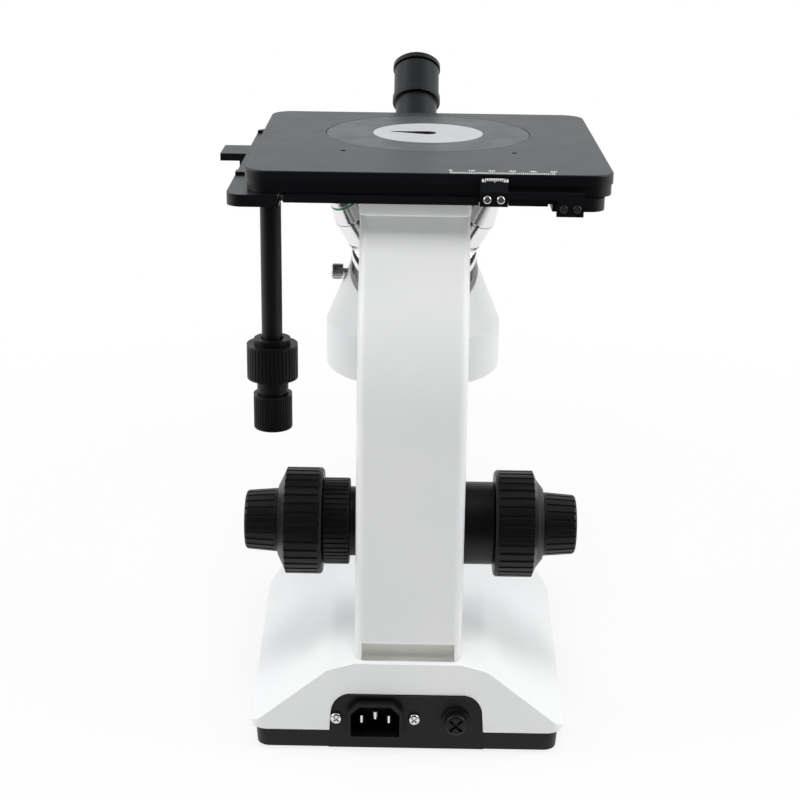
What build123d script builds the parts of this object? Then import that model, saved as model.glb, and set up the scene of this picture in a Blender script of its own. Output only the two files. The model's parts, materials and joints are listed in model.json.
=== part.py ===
from build123d import *
import os
from math import atan2, cos, degrees, pi, radians, sin, sqrt, tan

# Inverted metallurgical microscope, in millimetres. +Z is up, the rear is -Y and the user's side +Y.
# The origin lies on the resting plane, under the middle of the base.

# General fits
RUN_GAP = 0.05
SLIDE_GAP = 0.3
WALL = 3.0

# Gear teeth, as shares of the module or of the pitch
TOOTH_RISE = 0.8
TOOTH_DEPTH = 1.15
TOOTH_ROOT_SHARE = 0.29
TOOTH_TIP_SHARE = 0.10

# Base: housing, pan, feet
BASE_LENGTH = 200.0
BASE_REAR_WIDTH = 161.0
BASE_FRONT_WIDTH = 171.0
BASE_FRONT_CORNER = 40.0
BASE_REAR_CORNER = 9.0
FOOT_HEIGHT = 2.0
FOOT_RADIUS = 8.0
FOOT_INSET = 20.0
FOOT_FRONT_INSET = 26.0
FOOT_STUD_RADIUS = 3.0
PAN_HEIGHT = 11.5
PAN_INSET = 2.2
PAN_DRAFT = 4.0
HOUSING_LIP = 2.0
FLANK_TOP_HALF = 41.0
FLANK_TOP_Z = 44.5
ROOF_Z = 48.0
ROOF_EDGE_RADIUS = 12.0
REAR_LEAN = 7.0
FRONT_TOP_RADIUS = 16.0

# Rear panel with inlet and fuse
PANEL_X = -0.3
PANEL_WIDTH = 80.0
PANEL_TOP = 32.2
PANEL_CORNER = 10.0
PANEL_TAPER = 2.0
PANEL_SET = 2.5
PANEL_THICK = 3.0
PANEL_GAP = 0.3
INLET_X = -16.3
INLET_Z = 19.5
INLET_WIDTH = 25.0
INLET_HEIGHT = 17.0
INLET_CHAMFER = 4.5
INLET_RIM = 1.6
INLET_PROUD = 4.5
INLET_DEPTH = 13.5
INLET_FLANGE_WIDTH = 46.0
INLET_EAR_RADIUS = 9.0
INLET_FLANGE_HEIGHT = 21.0
INLET_FLANGE_THICK = 2.5
PIN_PITCH = 7.0
PIN_RISE = 2.1
PIN_WIDTH = 4.0
PIN_THICK = 2.0
PIN_LENGTH = 15.0
SCREW_PITCH = 40.0
SCREW_HEAD_RADIUS = 3.1
SCREW_HEAD_HEIGHT = 2.2
SCREW_SHANK_RADIUS = 1.6
SCREW_DOME = 0.6
CROSS_SLOT_WIDTH = 0.9
CROSS_SLOT_LENGTH = 3.6
CROSS_SLOT_DEPTH = 1.2
FUSE_X = 25.0
FUSE_Z = 19.0
FUSE_FLANGE_RADIUS = 7.2
FUSE_FLANGE_THICK = 2.0
FUSE_BODY_RADIUS = 6.2
FUSE_BODY_LENGTH = 30.0
FUSE_CAP_RADIUS = 5.75
FUSE_CAP_PROUD = 4.5
FUSE_PLUG_RADIUS = 4.5
FUSE_PLUG_LENGTH = 12.0
FUSE_SLOT_WIDTH = 1.4
FUSE_SLOT_DEPTH = 1.8

# Controls on the base's front
CONTROL_X = 30.0
CONTROL_Z = 24.5
SWITCH_WIDTH = 21.0
SWITCH_HEIGHT = 15.0
SWITCH_FRAME = 2.0
SWITCH_PROUD = 2.0
SWITCH_DEPTH = 16.0
ROCKER_PIVOT_DEPTH = 2.0
ROCKER_DIP = 1.0
ROCKER_ROCK = 9.0
DIAL_RADIUS = 11.0
DIAL_LENGTH = 9.0
DIAL_RIBS = 24
DIAL_RIB_RADIUS = 0.7
POT_RADIUS = 7.5
POT_LENGTH = 12.0
POT_SHAFT_RADIUS = 3.0
POT_BUSH_RADIUS = 4.5

# Lamp supply board
BOARD_WIDTH = 96.0
BOARD_LENGTH = 64.0
BOARD_THICK = 1.6
BOARD_STANDOFF = 5.0
BOARD_Y = -18.0
STANDOFF_RADIUS = 3.0
STANDOFF_INSET = 5.0
TRANSFORMER_SIZE = 26.0
TRANSFORMER_HEIGHT = 20.0
CAPACITOR_RADIUS = 7.0
CAPACITOR_HEIGHT = 20.0
HEATSINK_HEIGHT = 18.0
HEATSINK_FINS = 5
HEATSINK_PITCH = 4.0

# Column: leans a little, sweeps forward under the stage and ends in a flange
COLUMN_WIDTH = 54.8
COLUMN_SET = 10.5
COLUMN_DEPTH = 60.0
COLUMN_FOOT = 45.0
COLUMN_WALL = 3.5
COLUMN_CORNER = 5.0
COLUMN_LEAN = 9.0
COLUMN_BEND_RADIUS = 150.0
SWEEP_REACH = 34.5
SWEEP_RISE = 68.0
FLANGE_THICK = 6.8
FLANGE_LIP = 11.0
FLANGE_REACH = 11.5
FLANGE_EDGE = 1.2
VENT_WIDTH = 47.5
VENT_TOP = 57.6
VENT_DEPTH = 6.0
VENT_LINING = 2.0

# Optics
AXIS_REACH = 83.5
LAMP_SET = 20.0
LIGHT_DROP = 2.0
LIGHT_RADIUS = 5.5
EYE_CROSS_DROP = 15.0
EYE_TILT = 45.0
SOCKET_RADIUS = 8.0
SOCKET_HEIGHT = 10.0
LAMP_RADIUS = 4.5
LAMP_HEIGHT = 20.0
LAMP_PIN_RADIUS = 0.5
LAMP_PIN_PITCH = 4.0
LAMP_PIN_LENGTH = 5.0
BARREL_RISE = 39.0
BARREL_FOOT = 6.65
BARREL_LENGTH = 16.0
BARREL_OUTER = 9.5
LENS_RADIUS = 8.0
LENS_EDGE = 2.5
LENS_SAG = 3.0
LENS_SHOULDER = 1.2
MIRROR_THICK = 2.0
MIRROR_WIDTH = 16.0
MIRROR_LENGTH = 16.0
VIEW_MIRROR_LENGTH = 14.0
SPLITTER_THICK = 1.2
TUBE_WALL = 1.2

# Head with its arm
HEAD_RADIUS = 49.0
HEAD_BOTTOM_DROP = 30.0
HEAD_SEAM_DROP = 15.5
HEAD_SHOULDER_DROP = 3.5
HEAD_TOP_RISE = 29.0
HEAD_TOP_RADIUS = 35.5
HEAD_WALL = 4.0
HEAD_EDGE_RADIUS = 2.5
ARM_WIDTH = 40.0
ARM_BOTTOM_DROP = 43.0
ARM_TOP_RISE = 5.5
BOSS_RADIUS = 17.0
BOSS_START = 40.0
BOSS_END = 72.0
TUBE_RADIUS = 12.5
TUBE_BORE = 11.6
TUBE_START = 50.0
TUBE_END = 162.0
EYEPIECE_RADIUS = 13.75
EYEPIECE_RIM_RADIUS = 14.5
EYEPIECE_LENGTH = 29.0
EYEPIECE_RIM = 4.0
EYEPIECE_GROOVE = 1.2
EYEPIECE_SLEEVE = 20.0
EYEPIECE_WALL = 1.6
EYE_LENS_RADIUS = 9.0
EYE_LENS_THICK = 4.0
CLAMP_SET = 4.0
CLAMP_RISE = 24.0
CLAMP_RADIUS = 4.35
CLAMP_TIP = -46.0
CLAMP_LENGTH = 6.5
CLAMP_THREAD_RADIUS = 2.0
CLAMP_RIBS = 20

# Focus drive
FOCUS_SET = 34.5
FOCUS_Z = 111.0
FOCUS_DOWN = 6.0
FOCUS_UP = 3.0
COARSE_SHAFT_RADIUS = 6.0
FINE_SHAFT_RADIUS = 3.1
PINION_RADIUS = 8.0
FOCUS_MODULE = 1.0
PINION_WIDTH = 12.0
COARSE_RADIUS = 27.6
COARSE_FACE_RADIUS = 23.0
COARSE_RIBS = 36
COARSE_RIB_RADIUS = 1.0
FINE_RADIUS = 16.5
FINE_END_RADIUS = 15.2
FINE_RIBS = 24
FINE_RIB_RADIUS = 0.9
KNOB_ROUND = 2.0
KNOB_GAP = 0.5
GROOVE_LAND = 1.0
FINE_LENGTH = 16.5
LEFT_FLANGE_RADIUS = 18.0
LEFT_FLANGE_LENGTH = 3.6
LEFT_HUB_RADIUS = 10.0
LEFT_HUB_LENGTH = 17.0
TENSION_RADIUS = 22.4
TENSION_LENGTH = 13.2
TENSION_RIBS = 48
TENSION_RIB_RADIUS = 0.6
COARSE_LEFT_START = 17.6
COARSE_LEFT_LENGTH = 20.9
COARSE_LEFT_SHOULDER = 2.2
RIGHT_COLLAR_RADIUS = 21.4
RIGHT_COLLAR_LENGTH = 15.6
COARSE_RIGHT_START = 16.1
COARSE_RIGHT_LENGTH = 21.5
COARSE_RIGHT_SHOULDER = 3.5
BUSH_SPIGOT_RADIUS = 11.0
BUSH_SPIGOT_LENGTH = 6.0

# Focus slide in the column
SLIDE_HALF = 13.0
SLIDE_THICK = 6.0
SLIDE_DROP = 27.0
SLIDE_RISE = 21.0
SLIDE_FRONT_GAP = 1.2
SLIDE_LIP = 2.6
RACK_HALF_LENGTH = 24.0
GUIDE_HALF = 10.0
GUIDE_DROP = 19.0
GUIDE_TOP_DROP = 25.0

# Nosepiece: the turret's axis leans to the rear, its apex lies on the optical axis
TURRET_LEAN = 25.0
SEAT_RADIUS = 27.0
SEAT_LOW = 26.0
SEAT_HIGH = 34.0
TURRET_RADIUS = 34.5
TURRET_RIM = 9.0
TURRET_TOP_RADIUS = 10.0
TURRET_RIBS = 60
TURRET_RIB_RADIUS = 0.7
PIVOT_RADIUS = 4.0
PIVOT_HEAD_RADIUS = 7.0
PIVOT_HEAD = 2.5
LIGHT_HOLE_RADIUS = 9.0
TONGUE_HALF = 18.0
TONGUE_RISE = 12.0
TONGUE_THICK = 4.0
TONGUE_SET = 29.0
BRACKET_HALF = 12.0
BRACKET_SET = 56.0
BRACKET_SLOT_GAP = 2.0

# Objectives
PARFOCAL = 45.0
OBJECTIVE_REACH = 56.7
OBJECTIVE_COUNT = 4
OBJECTIVE_RADIUS = 11.2
OBJECTIVE_NECK_RADIUS = 9.2
OBJECTIVE_NECK = 5.0
OBJECTIVE_BARREL = 17.0
OBJECTIVE_GROOVE = 1.0
OBJECTIVE_NOSE = 2.0
OBJECTIVE_BORE = 5.0
THREAD_RADIUS = 10.0
THREAD_LENGTH = 4.5
LENGTH_4X = 27.0
LENGTH_10X = 36.0
LENGTH_20X = 34.0
LENGTH_40X = 42.0
TIP_4X = 8.5
TIP_10X = 7.0
TIP_20X = 7.5
TIP_40X = 5.0

# Mechanical stage
STAGE_TOP = 294.7
STAGE_WIDTH = 180.0
STAGE_LENGTH = 178.5
STAGE_REACH = 111.5
STAGE_CORNER = 12.0
STAGE_OFFSET = 6.5
PLATE_THICK = 5.5
FRAME_INSET = 0.7
STAGE_EDGE_RADIUS = 0.8
RING_RADIUS = 55.4
RING_GAP = 0.25
RING_THICK = 3.5
RING_BORE = 27.0
STAGE_HOLE_RADIUS = 52.0
INSERT_RADIUS = 30.0
INSERT_GAP = 0.2
INSERT_THICK = 2.0
DROP_RADIUS = 4.6
DROP_LENGTH = 20.0
DROP_TIP_RADIUS = 0.8
DROP_TURN = 172.0
CLIP_HOLE_RADIUS = 1.5
CLIP_HOLE_SPREAD = 44.0
CLIP_HOLE_SET = 56.0
LAYER_GAP = 0.2
CENTRE_HALF = 64.0
CENTRE_THICK = 3.7
CENTRE_REAR_SET = 114.0
CENTRE_FRONT_SET = 34.0
CENTRE_OPENING = 53.0
SLIDE_PLATE_THICK = 6.0
Y_HALF = 92.0
Y_REAR_SET = 3.0
Y_FRONT_SET = 62.0
Y_BAR_WIDTH = 12.0
Y_TRAVEL = 7.5
Y_CORNER = 8.0
ARM_GAP = 2.0
TONGUE_DEPTH = 3.7
TONGUE_LOW = 1.2
TONGUE_HIGH = 2.4
LEFT_TONGUE_SET = 74.0
TAB_REACH = 14.5
TAB_SET = 8.0
TAB_ROOT = 1.0
TAB_LENGTH = 25.0
TAB_THICK = 4.0
LUG_DROP = 7.0
LUG_WIDTH = 4.0
LUG_LENGTH = 6.0
RAIL_WIDTH = 6.0
RAIL_HEIGHT = 1.5
RAIL_REAR_SET = 64.0
RAIL_FRONT_SET = 58.0
X_LEFT_TRAVEL = 14.0
X_RIGHT_TRAVEL = 1.0

# Stage drive
DRIVE_SIDE = 7.5
DRIVE_SET = 14.0
DRIVE_TUBE_RADIUS = 5.25
DRIVE_TUBE_BORE = 4.3
HAND_CLEARANCE = 19.9
HOLLOW_RADIUS = 4.0
INNER_RADIUS = 2.5
DRIVE_MODULE = 0.8
Y_PINION_RADIUS = 6.0
X_PINION_RADIUS = 4.8
PINION_HEIGHT = 3.0
DRIVE_RACK_THICK = 4.0
Y_RACK_HALF = 14.0
COLLAR_RADIUS = 9.25
COLLAR_LAP = 2.0
Y_KNOB_RADIUS = 13.0
Y_KNOB_SET = 1.0
Y_KNOB_LENGTH = 18.0
NECK_RADIUS = 8.0
X_KNOB_RADIUS = 9.9
KNOB_NECK = 8.5
X_KNOB_LENGTH = 18.5
DRIVE_RIBS = 40
DRIVE_RIB_RADIUS = 0.45

# Vernier bracket
VERNIER_LEFT = 31.0
VERNIER_RIGHT = 44.4
VERNIER_DROP = 1.7
VERNIER_GAP = 1.0
VERNIER_BEVEL = 1.4
LIMB_RIGHT = 81.0
LIMB_DROP = 7.7
LIMB_HEIGHT = 3.1
LIMB_THICK = 3.0
FOOT_DEPTH = 7.0
FOOT_SWEEP = 7.8
FOOT_GAP = 0.5
BLOCK_LEFT = 68.0
BLOCK_HEIGHT = 11.5
BRACKET_SCREW_RADIUS = 2.0
BRACKET_SCREW_HEAD = 1.4
BRACKET_SCREW_SPREAD = 3.25

# Places that follow from the sizes above
BASE_REAR = -BASE_LENGTH / 2
BASE_FRONT = BASE_LENGTH / 2
PAN_TOP = FOOT_HEIGHT + PAN_HEIGHT
PANEL_Y = BASE_REAR + PANEL_SET
PLATE_BOTTOM = STAGE_TOP - PLATE_THICK
FRAME_BOTTOM = PLATE_BOTTOM - PLATE_THICK
LAYER_TOP = FRAME_BOTTOM - LAYER_GAP
Y_BOTTOM = LAYER_TOP - SLIDE_PLATE_THICK
COLUMN_TOP = LAYER_TOP - CENTRE_THICK
COLUMN_REAR = BASE_REAR + COLUMN_SET
COLUMN_FRONT = COLUMN_REAR + COLUMN_DEPTH
COLUMN_HALF = COLUMN_WIDTH / 2
COLUMN_INNER_FRONT = COLUMN_FRONT - COLUMN_WALL
COLUMN_BEND_Y = COLUMN_REAR + COLUMN_LEAN
NECK_REAR = COLUMN_BEND_Y + SWEEP_REACH
FLANGE_Z = COLUMN_TOP - FLANGE_THICK
FLANGE_FRONT = COLUMN_FRONT + FLANGE_REACH
COLUMN_BEND_Z = FLANGE_Z - SWEEP_RISE
LAMP_Y = COLUMN_REAR + LAMP_SET
BARREL_Z = COLUMN_FOOT + BARREL_RISE
FOCUS_Y = COLUMN_REAR + FOCUS_SET
RACK_LINE = FOCUS_Y + PINION_RADIUS
SLIDE_FRONT = COLUMN_INNER_FRONT - SLIDE_FRONT_GAP - SLIDE_LIP
SLIDE_REAR = SLIDE_FRONT - SLIDE_THICK
AXIS_Y = COLUMN_FRONT + AXIS_REACH
TURRET_APEX_Z = STAGE_TOP - PARFOCAL - OBJECTIVE_REACH
LIGHT_Z = TURRET_APEX_Z - LIGHT_DROP
EYE_CROSS_Z = TURRET_APEX_Z - EYE_CROSS_DROP
HEAD_BOTTOM = TURRET_APEX_Z - HEAD_BOTTOM_DROP
HEAD_SEAM = TURRET_APEX_Z - HEAD_SEAM_DROP
HEAD_SHOULDER = TURRET_APEX_Z - HEAD_SHOULDER_DROP
HEAD_TOP = TURRET_APEX_Z + HEAD_TOP_RISE
ARM_BOTTOM = TURRET_APEX_Z - ARM_BOTTOM_DROP
ARM_TOP = TURRET_APEX_Z + ARM_TOP_RISE
CLAMP_Y = AXIS_Y - CLAMP_SET
CLAMP_Z = TURRET_APEX_Z + CLAMP_RISE
SLIDE_BOTTOM = FOCUS_Z - SLIDE_DROP
SLIDE_TOP = TURRET_APEX_Z + SLIDE_RISE
GUIDE_BOTTOM = FOCUS_Z - GUIDE_DROP
GUIDE_TOP = TURRET_APEX_Z - GUIDE_TOP_DROP
TONGUE_BOTTOM = TURRET_APEX_Z + TONGUE_RISE
TONGUE_FRONT = AXIS_Y - TONGUE_SET
BRACKET_FRONT = AXIS_Y - BRACKET_SET
STAGE_REAR = AXIS_Y - STAGE_REACH
CLIP_HOLE_Y = AXIS_Y - CLIP_HOLE_SET
CENTRE_REAR = AXIS_Y - CENTRE_REAR_SET
CENTRE_FRONT = AXIS_Y + CENTRE_FRONT_SET
Y_REAR = STAGE_REAR - Y_REAR_SET
Y_FRONT = AXIS_Y + Y_FRONT_SET
LEFT_TONGUE_START = AXIS_Y - LEFT_TONGUE_SET
TAB_REAR = AXIS_Y - TAB_SET
RAIL_REAR_Y = AXIS_Y - RAIL_REAR_SET
RAIL_FRONT_Y = AXIS_Y + RAIL_FRONT_SET
DRIVE_X = -CENTRE_HALF - DRIVE_SIDE
DRIVE_Y = STAGE_REAR + DRIVE_SET
X_KNOB_BOTTOM = FOCUS_Z + COARSE_RADIUS + HAND_CLEARANCE
X_KNOB_TOP = X_KNOB_BOTTOM + X_KNOB_LENGTH
Y_KNOB_BOTTOM = X_KNOB_TOP + KNOB_NECK
Y_KNOB_TOP = Y_KNOB_BOTTOM + Y_KNOB_LENGTH
DRIVE_TUBE_END = Y_KNOB_TOP + Y_KNOB_SET
COLLAR_TOP = DRIVE_TUBE_END + COLLAR_LAP
VERNIER_TOP = STAGE_TOP - VERNIER_DROP
LIMB_TOP = STAGE_TOP - LIMB_DROP
LIMB_BOTTOM = LIMB_TOP - LIMB_HEIGHT
BLOCK_BOTTOM = LIMB_TOP - BLOCK_HEIGHT
EYE_WAY = (0, sin(radians(EYE_TILT)), cos(radians(EYE_TILT)))
TURRET_WAY = (0, -sin(radians(TURRET_LEAN)), cos(radians(TURRET_LEAN)))


def block(x, y, z):
    """Box between the low and high ends given for each axis."""
    size = [high - low for low, high in (x, y, z)]
    return Pos(x[0], y[0], z[0]) * Box(*size, align=(Align.MIN, Align.MIN, Align.MIN))


def rod(radius, start, end):
    """Round bar between two points."""
    way = Vector(*end) - Vector(*start)
    ends = (Align.CENTER, Align.CENTER, Align.MIN)
    return Plane(Vector(*start), z_dir=way) * Cylinder(radius, way.length, align=ends)


def spin(points):
    """Solid of revolution about Z from (radius, height) points."""
    return revolve(Plane.XZ * make_face(Polyline(*points, close=True)), Axis.Z)


def along_x(face, x_low, x_high):
    """Prism along X of a face drawn in (y, z)."""
    plane = Plane((x_low, 0, 0), x_dir=(0, 1, 0), z_dir=(1, 0, 0))
    return extrude(plane * face, amount=x_high - x_low)


def along_y(face, y_low, y_high):
    """Prism along Y of a face drawn in (x, z)."""
    plane = Plane((0, y_high, 0), x_dir=(1, 0, 0), z_dir=(0, -1, 0))
    return extrude(plane * face, amount=y_high - y_low)


def along_z(face, z_low, z_high):
    """Prism along Z of a face drawn in (x, y)."""
    return extrude(Pos(0, 0, z_low) * face, amount=z_high - z_low)


def polygon(points):
    """Flat face inside a closed run of points."""
    return make_face(Polyline(*points, close=True))


def grooved(body, radius, count, groove, low, high):
    """Body about Z with round grooves cut along it at a radius."""
    bar = Pos(0, 0, low) * Cylinder(groove, high - low, align=(Align.CENTER, Align.CENTER, Align.MIN))
    return body - [place * bar for place in PolarLocations(radius, count)]


def tooth_half_widths(module):
    """Half widths of a tooth at its root and at its tip, thinned for backlash."""
    pitch = pi * module
    return TOOTH_ROOT_SHARE * pitch, TOOTH_TIP_SHARE * pitch


def toothed_wheel(pitch_radius, module, width):
    """Straight-toothed pinion about Z with a gap on +X."""
    count = round(2 * pitch_radius / module)
    root, tip = pitch_radius - TOOTH_DEPTH * module, pitch_radius + TOOTH_RISE * module
    root_half, tip_half = (half / pitch_radius for half in tooth_half_widths(module))
    points = []
    for index in range(count):
        middle = 2 * pi * (index + 0.5) / count
        for radius, turn in ((root, -root_half), (tip, -tip_half), (tip, tip_half), (root, root_half)):
            points.append((radius * cos(middle + turn), radius * sin(middle + turn)))
    return along_z(polygon(points), 0, width)


def toothed_rack(length, module, back, width):
    """Rack along X about the origin, with its teeth towards -Y, its back at +Y and its width along Z."""
    pitch = pi * module
    root, tip = TOOTH_DEPTH * module, -TOOTH_RISE * module
    root_half, tip_half = tooth_half_widths(module)
    reach = int((length / 2 - root_half) / pitch)
    points = [(-length / 2, back), (-length / 2, root)]
    for index in range(-reach, reach + 1):
        middle = index * pitch
        points += [(middle - root_half, root), (middle - tip_half, tip)]
        points += [(middle + tip_half, tip), (middle + root_half, root)]
    points += [(length / 2, root), (length / 2, back)]
    return along_z(polygon(points), 0, width)


def pan_head_screw(head_radius, head_height, shank):
    """Pan-head cross-slot screw, head outwards along +Z, seat at z 0."""
    head = Cylinder(head_radius, head_height, align=(Align.CENTER, Align.CENTER, Align.MIN))
    head = fillet(head.edges().group_by(Axis.Z)[-1], SCREW_DOME * head_height)
    slot = Box(CROSS_SLOT_LENGTH, CROSS_SLOT_WIDTH, 2 * CROSS_SLOT_DEPTH)
    top = Pos(0, 0, head_height)
    head = head - top * slot - top * Rot(0, 0, 90) * slot
    return head + rod(SCREW_SHANK_RADIUS, (0, 0, 0), (0, 0, -shank))


def save(node, shape):
    """Writes one sub-part to its own file."""
    export_step(shape, f"parts/{node}.step")


def base_plan(inset):
    """Plan of the base, wider in front, with large front corners."""
    rear, front = BASE_REAR_WIDTH / 2 - inset, BASE_FRONT_WIDTH / 2 - inset
    low, high = BASE_REAR + inset, BASE_FRONT - inset
    face = polygon([(-rear, low), (rear, low), (front, high), (-front, high)])
    face = fillet(face.vertices().group_by(Axis.Y)[-1], BASE_FRONT_CORNER - inset)
    return fillet(face.vertices().group_by(Axis.Y)[0], BASE_REAR_CORNER - inset / 2)


def roof_section(half, inset):
    """Cross-section of the base housing: short lip, sloping flanks and a flat ridge."""
    top = ROOF_Z - inset
    flank_x, flank_z = FLANK_TOP_HALF - inset / 2, FLANK_TOP_Z - inset
    lip_z = PAN_TOP + HOUSING_LIP - inset
    low = PAN_TOP - inset - 2 * WALL
    out_x, out_z = half + WALL, lip_z - WALL * (flank_z - lip_z) / (half - flank_x)
    points = [(-out_x, low), (out_x, low), (out_x, out_z), (flank_x, flank_z)]
    points += [(COLUMN_HALF, top), (-COLUMN_HALF, top), (-flank_x, flank_z), (-out_x, out_z)]
    face = polygon(points)
    bend = [v for v in face.vertices() if abs(abs(v.X) - flank_x) < WALL / 2]
    return fillet(bend, ROOF_EDGE_RADIUS)


def base_form(inset):
    """Closed outer form of the base housing, or of its hollow when inset."""
    sections = []
    for y, width in ((BASE_REAR, BASE_REAR_WIDTH), (BASE_FRONT, BASE_FRONT_WIDTH)):
        plane = Plane((0, y, 0), x_dir=(1, 0, 0), z_dir=(0, -1, 0))
        sections.append(plane * roof_section(width / 2 - inset, inset))
    roof = loft(sections, ruled=True)
    plan = along_z(base_plan(inset), PAN_TOP - inset, ROOF_Z)
    lean_top = BASE_REAR + REAR_LEAN + inset
    low, front = PAN_TOP - inset, BASE_FRONT - inset
    side = polygon([(BASE_REAR + inset, low), (front, low), (front, ROOF_Z), (lean_top, ROOF_Z)])
    side = fillet(side.vertices().group_by(Axis.Y)[-1].sort_by(Axis.X)[-1], FRONT_TOP_RADIUS)
    return roof & plan & along_x(side, -BASE_FRONT_WIDTH, BASE_FRONT_WIDTH)


def panel_face(grow):
    """Outline of the raised rear panel in (x, z)."""
    half, top = PANEL_WIDTH / 2 + grow, PANEL_TOP + grow
    face = polygon([(-half, FOOT_HEIGHT), (half, FOOT_HEIGHT), (half - PANEL_TAPER, top), (PANEL_TAPER - half, top)])
    face = fillet(face.vertices().group_by(Axis.Y)[-1], PANEL_CORNER)
    return Pos(PANEL_X, 0) * face


def inlet_face(grow):
    """Appliance inlet outline in (x, z), upper corners chamfered."""
    half, low, high = INLET_WIDTH / 2 + grow, -INLET_HEIGHT / 2 - grow, INLET_HEIGHT / 2 + grow
    cut = INLET_CHAMFER
    points = [(-half, low), (half, low), (half, high - cut), (half - cut, high)]
    points += [(cut - half, high), (-half, high - cut)]
    return Pos(INLET_X, INLET_Z) * polygon(points)


def column_foot_face(grow):
    """Plan of the column's foot, grown all round."""
    face = Rectangle(COLUMN_WIDTH + 2 * grow, COLUMN_DEPTH + 2 * grow)
    middle = COLUMN_REAR + COLUMN_DEPTH / 2
    return Pos(0, middle) * fillet(face.vertices(), COLUMN_CORNER + grow)


def rear_y(z):
    """Place of the column's leaning rear face at a height below the bend."""
    return COLUMN_REAR + COLUMN_LEAN * (z - COLUMN_FOOT) / (COLUMN_BEND_Z - COLUMN_FOOT)


def column_form(inset):
    """Column below its flange, or its hollow when inset: a side profile run across, long edges rounded."""
    rear, front, top = COLUMN_REAR + inset, COLUMN_FRONT - inset, FLANGE_Z - inset
    neck = NECK_REAR + inset - inset * SWEEP_REACH / SWEEP_RISE
    face = polygon([(rear, COLUMN_FOOT), (front, COLUMN_FOOT), (front, top), (neck, top),
                    (COLUMN_BEND_Y + inset, COLUMN_BEND_Z)])
    bend = face.vertices().sort_by_distance((COLUMN_BEND_Y + inset, COLUMN_BEND_Z))[0]
    face = fillet(bend, COLUMN_BEND_RADIUS)
    half = COLUMN_HALF - inset
    form = along_x(face, -half, half)
    upright = [edge for edge in form.edges() if edge.bounding_box().size.Z > COLUMN_CORNER]
    return fillet(upright, COLUMN_CORNER - inset / 2)


def column_flange():
    """Flange on the column that carries the stage."""
    rear = NECK_REAR - FLANGE_LIP
    face = Rectangle(COLUMN_WIDTH, FLANGE_FRONT - rear)
    face = Pos(0, (FLANGE_FRONT + rear) / 2) * fillet(face.vertices(), COLUMN_CORNER)
    flange = along_z(face, FLANGE_Z, COLUMN_TOP)
    return fillet(flange.edges().group_by(Axis.Z)[0], FLANGE_EDGE)


def build_base():
    """White housing, black pan with the rear panel, and feet."""
    housing = base_form(0)
    housing = housing - base_form(WALL)
    housing = housing + along_z(column_foot_face(WALL), COLUMN_FOOT - WALL, COLUMN_FOOT)
    housing = housing - along_y(panel_face(PANEL_GAP), BASE_REAR - WALL, PANEL_Y + PANEL_THICK + WALL)
    housing = housing - column_form(0)
    wiring = rod(SOCKET_RADIUS + WALL, (0, LAMP_Y, 0), (0, LAMP_Y, ROOF_Z))
    housing = housing - wiring
    switch_way = ((-CONTROL_X - SWITCH_WIDTH / 2, SWITCH_WIDTH / 2 - CONTROL_X), (0, BASE_FRONT + WALL))
    housing = housing - block(*switch_way, (CONTROL_Z - SWITCH_HEIGHT / 2, CONTROL_Z + SWITCH_HEIGHT / 2))
    front = BASE_FRONT + WALL
    housing = housing - rod(POT_BUSH_RADIUS, (CONTROL_X, 0, CONTROL_Z), (CONTROL_X, front, CONTROL_Z))
    save("base_housing", housing)

    pan = extrude(Pos(0, 0, PAN_TOP) * base_plan(PAN_INSET), amount=-PAN_HEIGHT, taper=PAN_DRAFT)
    pan = pan - along_z(base_plan(PAN_INSET + WALL), FOOT_HEIGHT + WALL, PAN_TOP)
    wall_front = PANEL_Y + PANEL_THICK
    pan = pan - along_y(panel_face(0), BASE_REAR, wall_front)
    panel = along_y(panel_face(0), PANEL_Y, wall_front)
    panel = panel + block(
        (PANEL_X - PANEL_WIDTH / 2, PANEL_X + PANEL_WIDTH / 2), (PANEL_Y, wall_front + WALL),
        (FOOT_HEIGHT, FOOT_HEIGHT + WALL))
    panel = panel - along_y(inlet_face(INLET_RIM), BASE_REAR, wall_front)
    panel = panel - rod(FUSE_BODY_RADIUS, (FUSE_X, BASE_REAR, FUSE_Z), (FUSE_X, wall_front, FUSE_Z))
    pan = pan + panel
    for side in (-1, 1):
        x = INLET_X + side * SCREW_PITCH / 2
        pan = pan - rod(SCREW_SHANK_RADIUS, (x, BASE_REAR, INLET_Z), (x, wall_front, INLET_Z))
    for x, y in foot_places():
        pan = pan - rod(FOOT_STUD_RADIUS, (x, y, 0), (x, y, PAN_TOP))
    save("base_pan", pan)

    feet = []
    for x, y in foot_places():
        pad = Pos(x, y, 0) * Cylinder(FOOT_RADIUS, FOOT_HEIGHT, align=(Align.CENTER, Align.CENTER, Align.MIN))
        pad = fillet(pad.edges().group_by(Axis.Z)[0], FOOT_HEIGHT / 3)
        feet.append(pad + rod(FOOT_STUD_RADIUS, (x, y, FOOT_HEIGHT), (x, y, FOOT_HEIGHT + WALL)))
    save("rubber_feet", Compound(children=feet))


def foot_places():
    """Middles of the four feet."""
    rear, front = BASE_REAR_WIDTH / 2 - FOOT_INSET, BASE_FRONT_WIDTH / 2 - FOOT_FRONT_INSET
    low, high = BASE_REAR + FOOT_INSET, BASE_FRONT - FOOT_FRONT_INSET
    return [(-rear, low), (rear, low), (-front, high), (front, high)]


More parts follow.
